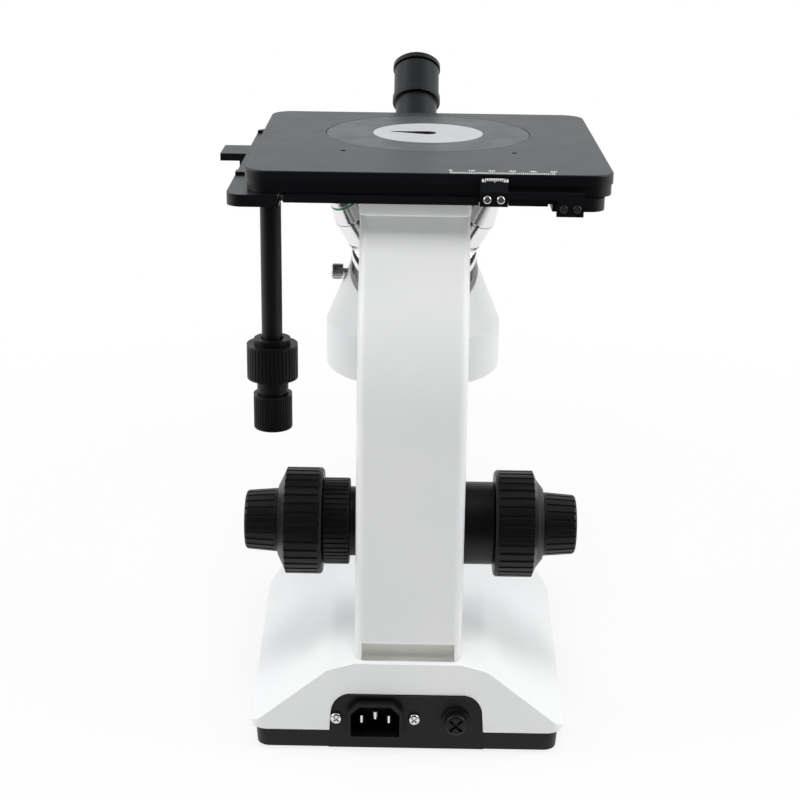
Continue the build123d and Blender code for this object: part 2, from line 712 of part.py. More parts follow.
def build_rear_panel():
    """Appliance inlet with blades and screws, and the fuse holder with its cap."""
    back = PANEL_Y + PANEL_THICK
    inlet = along_y(inlet_face(INLET_RIM), PANEL_Y - INLET_PROUD, back + INLET_DEPTH)
    flange = Rectangle(INLET_FLANGE_WIDTH, INLET_FLANGE_HEIGHT)
    flange = fillet(flange.vertices(), INLET_EAR_RADIUS)
    inlet = inlet + along_y(Pos(INLET_X, INLET_Z) * flange, back, back + INLET_FLANGE_THICK)
    inlet = inlet - along_y(inlet_face(0), PANEL_Y - 2 * INLET_PROUD, PANEL_Y + INLET_DEPTH)
    pins = []
    for step in (-1, 0, 1):
        x = INLET_X + step * PIN_PITCH
        z = INLET_Z + (PIN_RISE if step == 0 else 0)
        floor = PANEL_Y + INLET_DEPTH
        blade = block(
            (x - PIN_THICK / 2, x + PIN_THICK / 2), (floor - PIN_LENGTH, floor),
            (z - PIN_WIDTH / 2, z + PIN_WIDTH / 2))
        pins.append(chamfer(blade.edges().filter_by(Axis.Z).group_by(Axis.Y)[0], PIN_THICK / 4))
    screws = []
    for side in (-1, 1):
        x = INLET_X + side * SCREW_PITCH / 2
        seat = Plane((x, PANEL_Y, INLET_Z), x_dir=(1, 0, 1), z_dir=(0, -1, 0))
        grip = PANEL_THICK + INLET_FLANGE_THICK
        screws.append(seat * pan_head_screw(SCREW_HEAD_RADIUS, SCREW_HEAD_HEIGHT, grip))
        inlet = inlet - rod(SCREW_SHANK_RADIUS, (x, BASE_REAR, INLET_Z), (x, BASE_FRONT, INLET_Z))
    save("power_inlet", inlet)
    save("inlet_pins", Compound(children=pins))
    save("inlet_screws", Compound(children=screws))

    middle = Plane((FUSE_X, PANEL_Y, FUSE_Z), x_dir=(1, 0, 1), z_dir=(0, -1, 0))
    holder = rod(FUSE_FLANGE_RADIUS, (0, 0, 0), (0, 0, FUSE_FLANGE_THICK))
    holder = holder + rod(FUSE_BODY_RADIUS, (0, 0, 0), (0, 0, -FUSE_BODY_LENGTH))
    plug_hole = -FUSE_PLUG_LENGTH - FUSE_FLANGE_THICK
    holder = holder - rod(FUSE_PLUG_RADIUS + RUN_GAP, (0, 0, plug_hole), (0, 0, 2 * FUSE_FLANGE_THICK))
    save("fuse_holder", middle * holder)
    low, high = FUSE_FLANGE_THICK + SLIDE_GAP, FUSE_FLANGE_THICK + FUSE_CAP_PROUD
    cap = rod(FUSE_CAP_RADIUS, (0, 0, low), (0, 0, high))
    cap = fillet(cap.edges().group_by(Axis.Z)[-1], SCREW_SHANK_RADIUS)
    slot = Box(2 * FUSE_PLUG_RADIUS, FUSE_SLOT_WIDTH, 2 * FUSE_SLOT_DEPTH)
    cap = cap - Pos(0, 0, high) * slot - Pos(0, 0, high) * Rot(0, 0, 90) * slot
    cap = cap + rod(FUSE_PLUG_RADIUS, (0, 0, FUSE_FLANGE_THICK - FUSE_PLUG_LENGTH), (0, 0, low))
    save("fuse_cap", middle * cap)


def build_controls():
    """Rocker switch and dimmer on the base's front."""
    half_w, half_h = SWITCH_WIDTH / 2, SWITCH_HEIGHT / 2
    x, z = -CONTROL_X, CONTROL_Z
    body = block(
        (x - half_w, x + half_w), (BASE_FRONT - SWITCH_DEPTH, BASE_FRONT), (z - half_h, z + half_h))
    rim_w, rim_h = half_w + SWITCH_FRAME, half_h + SWITCH_FRAME
    rim = block((x - rim_w, x + rim_w), (BASE_FRONT, BASE_FRONT + SWITCH_PROUD), (z - rim_h, z + rim_h))
    rim = chamfer(rim.edges().group_by(Axis.Y)[-1], SWITCH_PROUD / 2)
    hole_w, hole_h = half_w - SWITCH_FRAME / 2, half_h - SWITCH_FRAME / 2
    well = block(
        (x - hole_w, x + hole_w), (BASE_FRONT - SWITCH_DEPTH / 2, BASE_FRONT + 2 * SWITCH_PROUD),
        (z - hole_h, z + hole_h))
    pivot_y = BASE_FRONT - ROCKER_PIVOT_DEPTH
    pin = rod(SWITCH_FRAME / 2, (x - hole_w, pivot_y, z), (x + hole_w, pivot_y, z))
    save("power_switch", body + rim - well + pin)
    rock = radians(ROCKER_ROCK)
    half = hole_h - 2 * SLIDE_GAP
    tip = BASE_FRONT + SWITCH_PROUD
    profile = [(pivot_y, -half * cos(rock)), (tip, -half * cos(rock)), (tip - ROCKER_DIP, 0), (tip, half * cos(rock))]
    profile += [(pivot_y, half * cos(rock)), (pivot_y - ROCKER_PIVOT_DEPTH, 0)]
    rocker = along_x(polygon(profile), x - hole_w + SLIDE_GAP, x + hole_w - SLIDE_GAP)
    rocker = Pos(0, 0, z) * rocker
    bore = rod(SWITCH_FRAME / 2 + RUN_GAP, (x - half_w, pivot_y, z), (x + half_w, pivot_y, z))
    save("power_rocker", rocker - bore)

    seat = Plane((CONTROL_X, BASE_FRONT, CONTROL_Z), x_dir=(1, 0, 0), z_dir=(0, 1, 0))
    pot = rod(POT_RADIUS, (0, 0, -WALL - POT_LENGTH), (0, 0, -WALL))
    pot = pot + rod(POT_BUSH_RADIUS, (0, 0, -WALL), (0, 0, 0))
    pot = pot - rod(POT_SHAFT_RADIUS + RUN_GAP, (0, 0, -WALL - POT_LENGTH / 2), (0, 0, 0))
    save("dimmer_pot", seat * pot)
    dial = rod(DIAL_RADIUS, (0, 0, SLIDE_GAP), (0, 0, DIAL_LENGTH))
    dial = chamfer(dial.edges().group_by(Axis.Z)[-1], DIAL_RIB_RADIUS)
    dial = grooved(dial, DIAL_RADIUS, DIAL_RIBS, DIAL_RIB_RADIUS, 2 * SLIDE_GAP, 2 * DIAL_LENGTH)
    dial = dial + rod(POT_SHAFT_RADIUS, (0, 0, -WALL - POT_LENGTH / 2 + SLIDE_GAP), (0, 0, SLIDE_GAP))
    save("brightness_dial", seat * dial)


def build_supply():
    """Lamp supply board on standoffs in the pan."""
    floor = FOOT_HEIGHT + WALL
    top = floor + BOARD_STANDOFF
    half_w, half_l = BOARD_WIDTH / 2, BOARD_LENGTH / 2
    board = block((-half_w, half_w), (BOARD_Y - half_l, BOARD_Y + half_l), (top, top + BOARD_THICK))
    face = top + BOARD_THICK
    for x in (STANDOFF_INSET - half_w, half_w - STANDOFF_INSET):
        for y in (BOARD_Y - half_l + STANDOFF_INSET, BOARD_Y + half_l - STANDOFF_INSET):
            board = board + rod(STANDOFF_RADIUS, (x, y, floor), (x, y, top))
    size = TRANSFORMER_SIZE / 2
    core = block((-size, size), (BOARD_Y - size, BOARD_Y + size), (face, face + TRANSFORMER_HEIGHT))
    spread = (half_w + size) / 2
    can = rod(CAPACITOR_RADIUS, (-spread, BOARD_Y, face), (-spread, BOARD_Y, face + CAPACITOR_HEIGHT))
    board = board + core + can
    for index in range(HEATSINK_FINS):
        x = spread + (index - HEATSINK_FINS / 2) * HEATSINK_PITCH
        board = board + block(
            (x, x + HEATSINK_PITCH / 3), (BOARD_Y - size, BOARD_Y + size), (face, face + HEATSINK_HEIGHT))
    save("power_board", board)


def build_column():
    """Hollow column with the vent, its shaft holes, the slot of the nosepiece and the mirror's boss."""
    column = column_form(0) + column_flange() - column_form(COLUMN_WALL)
    half = VENT_WIDTH / 2
    lining_z = (COLUMN_FOOT, VENT_TOP + VENT_LINING)
    lining = block((-COLUMN_HALF, COLUMN_HALF), (COLUMN_REAR, COLUMN_REAR + VENT_DEPTH + VENT_LINING), lining_z)
    column = column + (lining & column_form(COLUMN_WALL / 2))
    column = column - block((-half, half), (COLUMN_REAR, COLUMN_REAR + VENT_DEPTH), (COLUMN_FOOT, VENT_TOP))
    reach = COLUMN_HALF + WALL
    column = column - rod(BUSH_SPIGOT_RADIUS, (-reach, FOCUS_Y, FOCUS_Z), (reach, FOCUS_Y, FOCUS_Z))
    slot_half = BRACKET_HALF + BRACKET_SLOT_GAP
    slot_low = TONGUE_BOTTOM - FOCUS_DOWN - BRACKET_SLOT_GAP
    slot_high = SLIDE_TOP + FOCUS_UP + BRACKET_SLOT_GAP
    slot = ((-slot_half, slot_half), (COLUMN_INNER_FRONT, COLUMN_FRONT), (slot_low, slot_high))
    column = column - block(*slot)
    light = LIGHT_RADIUS + TUBE_WALL
    column = column - rod(light, (0, COLUMN_INNER_FRONT, LIGHT_Z), (0, COLUMN_FRONT, LIGHT_Z))
    half = MIRROR_LENGTH * sqrt(0.5) / 2
    back = MIRROR_THICK * sqrt(2)
    low, high = LIGHT_Z - half + back, LIGHT_Z + half + back
    wedge = polygon([(LAMP_Y - half, low), (LAMP_Y + half, high), (COLUMN_REAR, high), (COLUMN_REAR, low)])
    boss = along_x(wedge, -MIRROR_WIDTH / 2, MIRROR_WIDTH / 2)
    column = column + (boss & column_form(COLUMN_WALL / 2))
    save("column", column)


def build_illuminator():
    """Lamp in its socket, collector lens in its barrel, fold mirrors, light tube and beam splitter."""
    floor = COLUMN_FOOT
    socket = rod(SOCKET_RADIUS, (0, LAMP_Y, floor), (0, LAMP_Y, floor + SOCKET_HEIGHT))
    flange_z = (floor, floor + SOCKET_HEIGHT / 3)
    flange = 2 * SOCKET_RADIUS
    socket = socket + block((-flange, flange), (LAMP_Y - SOCKET_RADIUS / 2, LAMP_Y + SOCKET_RADIUS), flange_z)
    top = floor + SOCKET_HEIGHT
    for side in (-1, 1):
        x = side * LAMP_PIN_PITCH / 2
        socket = socket - rod(LAMP_PIN_RADIUS, (x, LAMP_Y, top - LAMP_PIN_LENGTH), (x, LAMP_Y, top))
    save("lamp_socket", socket)
    base = top + SLIDE_GAP
    bulb = rod(LAMP_RADIUS, (0, LAMP_Y, base), (0, LAMP_Y, base + LAMP_HEIGHT))
    bulb = fillet(bulb.edges().group_by(Axis.Z)[-1], 0.8 * LAMP_RADIUS)
    for side in (-1, 1):
        x = side * LAMP_PIN_PITCH / 2
        bulb = bulb + rod(LAMP_PIN_RADIUS, (x, LAMP_Y, top - LAMP_PIN_LENGTH), (x, LAMP_Y, base))
    save("halogen_lamp", bulb)

    end = BARREL_Z + BARREL_LENGTH
    barrel = rod(BARREL_OUTER, (0, LAMP_Y, BARREL_Z), (0, LAMP_Y, end))
    barrel = barrel + block((-BARREL_FOOT, BARREL_FOOT), (rear_y(end) + COLUMN_WALL, LAMP_Y), (BARREL_Z, end))
    seat = BARREL_Z + LENS_SHOULDER
    barrel = barrel - rod(LENS_RADIUS - LENS_SHOULDER, (0, LAMP_Y, BARREL_Z), (0, LAMP_Y, end))
    barrel = barrel - rod(LENS_RADIUS, (0, LAMP_Y, seat), (0, LAMP_Y, end))
    save("lens_barrel", barrel)
    lens = rod(LENS_RADIUS, (0, LAMP_Y, seat), (0, LAMP_Y, seat + LENS_EDGE + LENS_SAG))
    ball = (LENS_RADIUS**2 + LENS_SAG**2) / (2 * LENS_SAG)
    lens = lens & Pos(0, LAMP_Y, seat + LENS_EDGE + LENS_SAG - ball) * Sphere(ball)
    save("collector_lens", lens)

    plate = Box(MIRROR_WIDTH, MIRROR_LENGTH, MIRROR_THICK, align=(Align.CENTER, Align.CENTER, Align.MIN))
    lamp_mirror = Pos(0, LAMP_Y, LIGHT_Z) * Rot(45, 0, 0) * plate
    view = Box(MIRROR_WIDTH, VIEW_MIRROR_LENGTH, MIRROR_THICK, align=(Align.CENTER, Align.CENTER, Align.MAX))
    view_mirror = Pos(0, AXIS_Y, EYE_CROSS_Z) * Rot(-EYE_TILT / 2, 0, 0) * view
    save("fold_mirrors", Compound(children=[lamp_mirror, view_mirror]))

    outer = LIGHT_RADIUS + TUBE_WALL
    far = AXIS_Y + 2 * outer
    tube = rod(outer, (0, COLUMN_INNER_FRONT, LIGHT_Z), (0, far, LIGHT_Z))
    tube = tube - rod(LIGHT_RADIUS, (0, COLUMN_INNER_FRONT, LIGHT_Z), (0, far, LIGHT_Z))
    cut = Pos(0, AXIS_Y, LIGHT_Z) * Rot(45, 0, 0) * Pos(0, 0, -far) * Box(far, 4 * far, 2 * far)
    tube = tube - cut
    tube = tube - rod(LIGHT_RADIUS, (0, AXIS_Y, LIGHT_Z), (0, AXIS_Y, LIGHT_Z + 2 * outer))
    save("illuminator_tube", tube)
    glass = Box(2 * outer, 2 * outer * sqrt(2), SPLITTER_THICK, align=(Align.CENTER, Align.CENTER, Align.MAX))
    save("beam_splitter", Pos(0, AXIS_Y, LIGHT_Z) * Rot(45, 0, 0) * glass)


def eye_point(distance):
    """Point on the viewing tube's axis at a distance from the view mirror."""
    return (0, AXIS_Y + distance * EYE_WAY[1], EYE_CROSS_Z + distance * EYE_WAY[2])


def turret_point(height):
    """Point on the turret's axis at a height from its apex."""
    return (0, AXIS_Y + height * TURRET_WAY[1], TURRET_APEX_Z + height * TURRET_WAY[2])


def turret_rod(radius, low, high):
    """Round bar about the turret's axis."""
    return rod(radius, turret_point(low), turret_point(high))


def build_head():
    """White head with its arm and tube boss, lower cover, viewing tube and clamp screw."""
    wall = HEAD_WALL
    outer = [(0, HEAD_SEAM), (HEAD_RADIUS, HEAD_SEAM), (HEAD_RADIUS, HEAD_SHOULDER)]
    outer += [(HEAD_TOP_RADIUS, HEAD_TOP), (0, HEAD_TOP)]
    inner = [(0, HEAD_SEAM), (HEAD_RADIUS - wall, HEAD_SEAM), (HEAD_RADIUS - wall, HEAD_SHOULDER)]
    inner += [(HEAD_TOP_RADIUS - wall, HEAD_TOP), (0, HEAD_TOP)]
    middle = Pos(0, AXIS_Y, 0)
    hollow = middle * spin(inner)
    head = middle * spin(outer)
    half = ARM_WIDTH / 2
    arm = block((-half, half), (COLUMN_FRONT, AXIS_Y), (ARM_BOTTOM, ARM_TOP))
    arm = fillet(arm.edges().filter_by(Axis.Y), HEAD_WALL)
    below = middle * spin([(0, ARM_BOTTOM), (HEAD_RADIUS, ARM_BOTTOM), (HEAD_RADIUS, HEAD_SEAM), (0, HEAD_SEAM)])
    boss = rod(BOSS_RADIUS, eye_point(BOSS_START), eye_point(BOSS_END))
    head = head + (arm - below) + boss
    head = head - hollow - rod(TUBE_RADIUS, eye_point(0), eye_point(TUBE_END))
    light = LIGHT_RADIUS + TUBE_WALL
    head = head - rod(light, (0, COLUMN_FRONT, LIGHT_Z), (0, AXIS_Y, LIGHT_Z))
    margin = FOCUS_DOWN * sin(radians(TURRET_LEAN)) + 2 * SLIDE_GAP
    drop = FOCUS_DOWN + 2 * SLIDE_GAP
    head = head - turret_rod(TURRET_RADIUS + margin, SEAT_HIGH - drop, 3 * SEAT_HIGH)
    head = head - turret_rod(SEAT_RADIUS + margin, SEAT_LOW - drop, 2 * SEAT_HIGH)
    way = block((-TONGUE_HALF - margin, TONGUE_HALF + margin), (COLUMN_FRONT, AXIS_Y),
                (TONGUE_BOTTOM - drop, HEAD_TOP))
    head = head - way
    thread_end = CLAMP_TIP + CLAMP_LENGTH + 2 * HEAD_WALL
    hole = rod(CLAMP_THREAD_RADIUS, (CLAMP_TIP, CLAMP_Y, CLAMP_Z), (0, CLAMP_Y, CLAMP_Z))
    save("head_housing", head - hole)

    cover = [(0, HEAD_BOTTOM), (HEAD_RADIUS, HEAD_BOTTOM), (HEAD_RADIUS, HEAD_SEAM)]
    cover += [(HEAD_RADIUS - wall, HEAD_SEAM), (HEAD_RADIUS - wall, HEAD_BOTTOM + wall), (0, HEAD_BOTTOM + wall)]
    cover = middle * spin(cover)
    cover = fillet(cover.edges().filter_by(GeomType.CIRCLE).group_by(Axis.Z)[0], HEAD_EDGE_RADIUS)
    cover = cover - block((-half, half), (COLUMN_FRONT, AXIS_Y - HEAD_RADIUS + 2 * wall), (0, HEAD_SEAM))
    tilt = radians(EYE_TILT / 2)
    run = VIEW_MIRROR_LENGTH / 2 * cos(tilt)
    rise = VIEW_MIRROR_LENGTH / 2 * sin(tilt)
    back_y, back_z = -MIRROR_THICK * sin(tilt), -MIRROR_THICK * cos(tilt)
    seat = [(AXIS_Y - run + back_y, EYE_CROSS_Z + rise + back_z), (AXIS_Y + run + back_y, EYE_CROSS_Z - rise + back_z)]
    seat += [(AXIS_Y + run + back_y, HEAD_BOTTOM + wall), (AXIS_Y - run + back_y, HEAD_BOTTOM + wall)]
    cover = cover + along_x(polygon(seat), -MIRROR_WIDTH / 2, MIRROR_WIDTH / 2)
    save("head_lower_cover", cover)

    tube = rod(TUBE_RADIUS, eye_point(TUBE_START), eye_point(TUBE_END))
    save("eyepiece_tube", tube - rod(TUBE_BORE, eye_point(TUBE_START), eye_point(TUBE_END)))
    seat = Plane(eye_point(TUBE_END), x_dir=(1, 0, 0), z_dir=EYE_WAY)
    save("eyepiece", seat * eyepiece_body())
    save("eyepiece_lenses", seat * eyepiece_glass())

    seat = Plane((CLAMP_TIP, CLAMP_Y, CLAMP_Z), x_dir=(0, 1, 0), z_dir=(1, 0, 0))
    screw = rod(CLAMP_RADIUS, (0, 0, 0), (0, 0, CLAMP_LENGTH))
    screw = chamfer(screw.edges().group_by(Axis.Z)[0], CROSS_SLOT_WIDTH)
    screw = grooved(screw, CLAMP_RADIUS, CLAMP_RIBS, DRIVE_RIB_RADIUS, -GROOVE_LAND, CLAMP_LENGTH - GROOVE_LAND)
    thread = thread_end - CLAMP_TIP
    save("head_clamp_screw", seat * (screw + rod(CLAMP_THREAD_RADIUS - RUN_GAP, (0, 0, 0), (0, 0, thread))))


def eyepiece_body():
    """Eyepiece about Z: sleeve in the tube below z 0, body with a rimmed top above."""
    radius, rim = EYEPIECE_RADIUS, EYEPIECE_RIM_RADIUS
    sleeve = TUBE_BORE - RUN_GAP
    bore = sleeve - EYEPIECE_WALL
    low, top = SLIDE_GAP, EYEPIECE_LENGTH
    points = [(bore, -EYEPIECE_SLEEVE), (sleeve, -EYEPIECE_SLEEVE), (sleeve, low), (rim, low)]
    points += [(rim, low + EYEPIECE_RIM), (radius, low + EYEPIECE_RIM + EYEPIECE_GROOVE)]
    neck = top - EYEPIECE_RIM - EYEPIECE_GROOVE
    points += [(radius, neck), (radius - EYEPIECE_GROOVE, neck), (radius - EYEPIECE_GROOVE, neck + EYEPIECE_GROOVE)]
    points += [(rim, top - EYEPIECE_RIM), (rim, top - EYEPIECE_GROOVE), (rim - EYEPIECE_GROOVE, top)]
    points += [(EYE_LENS_RADIUS, top), (EYE_LENS_RADIUS, top - EYE_LENS_THICK)]
    points += [(EYE_LENS_RADIUS - EYEPIECE_WALL, top - EYE_LENS_THICK), (bore, neck - EYEPIECE_RIM)]
    return spin(points)


def eyepiece_glass():
    """Eye lens at the top and field lens at the sleeve's lower end."""
    top = EYEPIECE_LENGTH - EYEPIECE_GROOVE
    eye = rod(EYE_LENS_RADIUS, (0, 0, EYEPIECE_LENGTH - EYE_LENS_THICK), (0, 0, top))
    ball = 3 * EYE_LENS_RADIUS
    eye = eye & Pos(0, 0, top - ball) * Sphere(ball)
    field = TUBE_BORE - RUN_GAP - EYEPIECE_WALL
    low = -EYEPIECE_SLEEVE + EYEPIECE_GROOVE
    lens = rod(field, (0, 0, low), (0, 0, low + EYE_LENS_THICK))
    return Compound(children=[eye, lens])


def coarse_knob(length, shoulder):
    """Ribbed coarse knob about Z, its conical face upwards."""
    top = length + shoulder
    bore = COARSE_SHAFT_RADIUS
    points = [(bore, 0), (COARSE_RADIUS - KNOB_ROUND / 2, 0), (COARSE_RADIUS, KNOB_ROUND / 2)]
    points += [(COARSE_RADIUS, length - KNOB_ROUND), (COARSE_FACE_RADIUS, length)]
    points += [(FINE_RADIUS + KNOB_ROUND, top), (bore, top)]
    knob = spin(points)
    groove = COARSE_RADIUS + COARSE_RIB_RADIUS / 4
    return grooved(knob, groove, COARSE_RIBS, COARSE_RIB_RADIUS, KNOB_ROUND, length + shoulder)


def fine_knob():
    """Ribbed fine knob about Z, tapering to a rounded end."""
    top = FINE_LENGTH
    points = [(0, 0), (FINE_RADIUS, 0), (FINE_END_RADIUS, top), (0, top)]
    knob = spin(points)
    knob = fillet(knob.edges().group_by(Axis.Z)[-1], KNOB_ROUND)
    lean = degrees(atan2(FINE_RADIUS - FINE_END_RADIUS, top))
    bar = Cylinder(FINE_RIB_RADIUS, 2 * top, align=(Align.CENTER, Align.CENTER, Align.MIN))
    bar = Pos(0, 0, KNOB_ROUND / 2) * Rot(0, -lean, 0) * bar
    knob = knob - [place * bar for place in PolarLocations(FINE_RADIUS + FINE_RIB_RADIUS / 4, FINE_RIBS)]
    return knob - rod(FINE_SHAFT_RADIUS, (0, 0, 0), (0, 0, top - 2 * KNOB_ROUND))


def build_focus():
    """Coaxial focus drive: bearings, tension ring, shafts and knobs."""
    left = Plane((-COLUMN_HALF, FOCUS_Y, FOCUS_Z), x_dir=(0, 1, 0), z_dir=(-1, 0, 0))
    right = Plane((COLUMN_HALF, FOCUS_Y, FOCUS_Z), x_dir=(0, 1, 0), z_dir=(1, 0, 0))
    bore = COARSE_SHAFT_RADIUS + RUN_GAP
    spigot = rod(BUSH_SPIGOT_RADIUS, (0, 0, -BUSH_SPIGOT_LENGTH), (0, 0, 0))
    bush = spigot + rod(LEFT_FLANGE_RADIUS, (0, 0, 0), (0, 0, LEFT_FLANGE_LENGTH))
    bush = bush + rod(LEFT_HUB_RADIUS, (0, 0, 0), (0, 0, LEFT_HUB_LENGTH))
    save("focus_bush_left", left * (bush - rod(bore, (0, 0, -BUSH_SPIGOT_LENGTH), (0, 0, LEFT_HUB_LENGTH))))
    collar = rod(RIGHT_COLLAR_RADIUS, (0, 0, 0), (0, 0, RIGHT_COLLAR_LENGTH))
    collar = fillet(collar.edges().group_by(Axis.Z)[-1], KNOB_GAP) + spigot
    reach = (0, 0, RIGHT_COLLAR_LENGTH)
    save("focus_collar_right", right * (collar - rod(bore, (0, 0, -BUSH_SPIGOT_LENGTH), reach)))

    low = LEFT_FLANGE_LENGTH + SLIDE_GAP
    high = low + TENSION_LENGTH
    ring = rod(TENSION_RADIUS, (0, 0, low), (0, 0, high))
    ring = chamfer(ring.edges().group_by(Axis.Z)[0] + ring.edges().group_by(Axis.Z)[-1], KNOB_GAP)
    ring = grooved(ring, TENSION_RADIUS, TENSION_RIBS, TENSION_RIB_RADIUS, low + KNOB_GAP, high + KNOB_GAP)
    save("tension_ring", left * (ring - rod(LEFT_HUB_RADIUS + RUN_GAP, (0, 0, 0), (0, 0, high))))

    x_left, x_right = COARSE_LEFT_START, COARSE_RIGHT_START
    left_end = x_left + COARSE_LEFT_LENGTH + COARSE_LEFT_SHOULDER
    right_end = x_right + COARSE_RIGHT_LENGTH + COARSE_RIGHT_SHOULDER
    save("coarse_knob_left", left * Pos(0, 0, x_left) * coarse_knob(COARSE_LEFT_LENGTH, COARSE_LEFT_SHOULDER))
    knob = coarse_knob(COARSE_RIGHT_LENGTH, COARSE_RIGHT_SHOULDER)
    save("coarse_knob_right", right * Pos(0, 0, x_right) * knob)
    ends = (-COLUMN_HALF - left_end, COLUMN_HALF + right_end)
    shaft = rod(COARSE_SHAFT_RADIUS, (ends[0], FOCUS_Y, FOCUS_Z), (ends[1], FOCUS_Y, FOCUS_Z))
    wheel = toothed_wheel(PINION_RADIUS, FOCUS_MODULE, PINION_WIDTH)
    wheel = Plane((-PINION_WIDTH / 2, FOCUS_Y, FOCUS_Z), x_dir=(0, 1, 0), z_dir=(1, 0, 0)) * wheel
    hole = FINE_SHAFT_RADIUS + RUN_GAP
    shaft = shaft + wheel - rod(hole, (ends[0], FOCUS_Y, FOCUS_Z), (ends[1], FOCUS_Y, FOCUS_Z))
    save("coarse_shaft", shaft)
    save("fine_knob_left", left * Pos(0, 0, left_end + KNOB_GAP) * fine_knob())
    save("fine_knob_right", right * Pos(0, 0, right_end + KNOB_GAP) * fine_knob())
    grip = FINE_LENGTH - 2 * KNOB_ROUND + KNOB_GAP
    inner = ((ends[0] - grip, FOCUS_Y, FOCUS_Z), (ends[1] + grip, FOCUS_Y, FOCUS_Z))
    save("fine_shaft", rod(FINE_SHAFT_RADIUS, *inner))


def build_slide():
    """Guide on the column's front wall and the slide with its rack."""
    guide_back = SLIDE_FRONT + SLIDE_GAP
    save("focus_guide", block((-GUIDE_HALF, GUIDE_HALF), (guide_back, COLUMN_INNER_FRONT), (GUIDE_BOTTOM, GUIDE_TOP)))
    slide = block((-SLIDE_HALF, SLIDE_HALF), (SLIDE_REAR, SLIDE_FRONT), (SLIDE_BOTTOM, SLIDE_TOP))
    inner = GUIDE_HALF + SLIDE_GAP
    for low, high in ((-SLIDE_HALF, -inner), (inner, SLIDE_HALF)):
        slide = slide + block((low, high), (SLIDE_FRONT, SLIDE_FRONT + SLIDE_LIP), (SLIDE_BOTTOM, GUIDE_TOP))
    light = LIGHT_RADIUS + TUBE_WALL / 2
    window = (LIGHT_Z - light - FOCUS_UP, LIGHT_Z + light + FOCUS_DOWN)
    slide = slide - block((-light, light), (SLIDE_REAR, SLIDE_FRONT), window)
    back = SLIDE_REAR - RACK_LINE
    rack = toothed_rack(2 * RACK_HALF_LENGTH, FOCUS_MODULE, back, PINION_WIDTH)
    place = Plane((-PINION_WIDTH / 2, RACK_LINE, FOCUS_Z), x_dir=(0, 0, -1), z_dir=(1, 0, 0))
    save("focus_slide", slide + place * rack)


def build_nosepiece():
    """Bracket with the tilted seat, pivot screw, turret and objectives."""
    seat = turret_rod(SEAT_RADIUS, SEAT_LOW, SEAT_HIGH)
    tongue = block(
        (-TONGUE_HALF, TONGUE_HALF), (BRACKET_FRONT - TONGUE_THICK, TONGUE_FRONT),
        (TONGUE_BOTTOM, TONGUE_BOTTOM + TONGUE_THICK))
    head = block((-BRACKET_HALF, BRACKET_HALF), (SLIDE_FRONT, BRACKET_FRONT), (TONGUE_BOTTOM, SLIDE_TOP))
    carrier = seat + tongue + head
    carrier = carrier - rod(LIGHT_HOLE_RADIUS, (0, AXIS_Y, 0), (0, AXIS_Y, STAGE_TOP))
    carrier = carrier - turret_rod(PIVOT_RADIUS, SEAT_LOW, SEAT_HIGH)
    save("nosepiece_bracket", carrier)

    lean = radians(TURRET_LEAN)
    reach_h, reach_r = OBJECTIVE_REACH * cos(lean), OBJECTIVE_REACH * sin(lean)
    low = SEAT_HIGH + SLIDE_GAP
    rim_top = low + TURRET_RIM
    cone_out = reach_h - (TURRET_RADIUS - KNOB_GAP - reach_r) * tan(lean)
    cone_in = reach_h + (reach_r - TURRET_TOP_RADIUS) * tan(lean)
    points = [(PIVOT_RADIUS + RUN_GAP, low), (TURRET_RADIUS - KNOB_GAP, low), (TURRET_RADIUS, low + KNOB_GAP)]
    points += [(TURRET_RADIUS, rim_top), (TURRET_RADIUS - KNOB_GAP, cone_out)]
    points += [(TURRET_TOP_RADIUS, cone_in), (PIVOT_RADIUS + RUN_GAP, cone_in)]
    turret = grooved(spin(points), TURRET_RADIUS, TURRET_RIBS, TURRET_RIB_RADIUS, low + GROOVE_LAND, rim_top - GROOVE_LAND)
    apex = Plane((0, AXIS_Y, TURRET_APEX_Z), x_dir=(1, 0, 0), z_dir=TURRET_WAY)
    kinds = (("10x", LENGTH_10X, TIP_10X), ("20x", LENGTH_20X, TIP_20X))
    kinds += (("4x", LENGTH_4X, TIP_4X), ("40x", LENGTH_40X, TIP_40X))
    for index, (name, length, tip) in enumerate(kinds):
        place = Rot(0, 0, index * 360 / OBJECTIVE_COUNT) * Rot(-TURRET_LEAN, 0, 0)
        hole = rod(THREAD_RADIUS, (0, 0, 0), (0, 0, 2 * OBJECTIVE_REACH))
        turret = turret - place * hole
        save(f"objective_{name}", apex * place * Pos(0, 0, OBJECTIVE_REACH) * objective(length, tip))
    save("nosepiece_turret", apex * turret)
    head = cone_in + SLIDE_GAP
    pivot = rod(PIVOT_RADIUS, (0, 0, SEAT_LOW), (0, 0, head))
    save("turret_screw", apex * (pivot + rod(PIVOT_HEAD_RADIUS, (0, 0, head), (0, 0, head + PIVOT_HEAD))))


def objective(length, tip):
    """Objective about Z: thread below z 0, necked barrel and tapered front."""
    bore, wide, neck = OBJECTIVE_BORE, OBJECTIVE_RADIUS, OBJECTIVE_NECK_RADIUS
    waist = OBJECTIVE_NECK + OBJECTIVE_BARREL
    points = [(bore, -THREAD_LENGTH), (THREAD_RADIUS, -THREAD_LENGTH), (THREAD_RADIUS, 0), (wide, 0)]
    low, high = OBJECTIVE_NECK - OBJECTIVE_GROOVE, OBJECTIVE_NECK + OBJECTIVE_GROOVE
    points += [(wide, low), (neck, low), (neck, high), (wide, high), (wide, waist)]
    nose = length - OBJECTIVE_NOSE
    points += [(tip + OBJECTIVE_NOSE / 2, nose), (tip, length)]
    points += [(bore / 2, length), (bore / 2, nose), (bore, waist)]
    return spin(points)


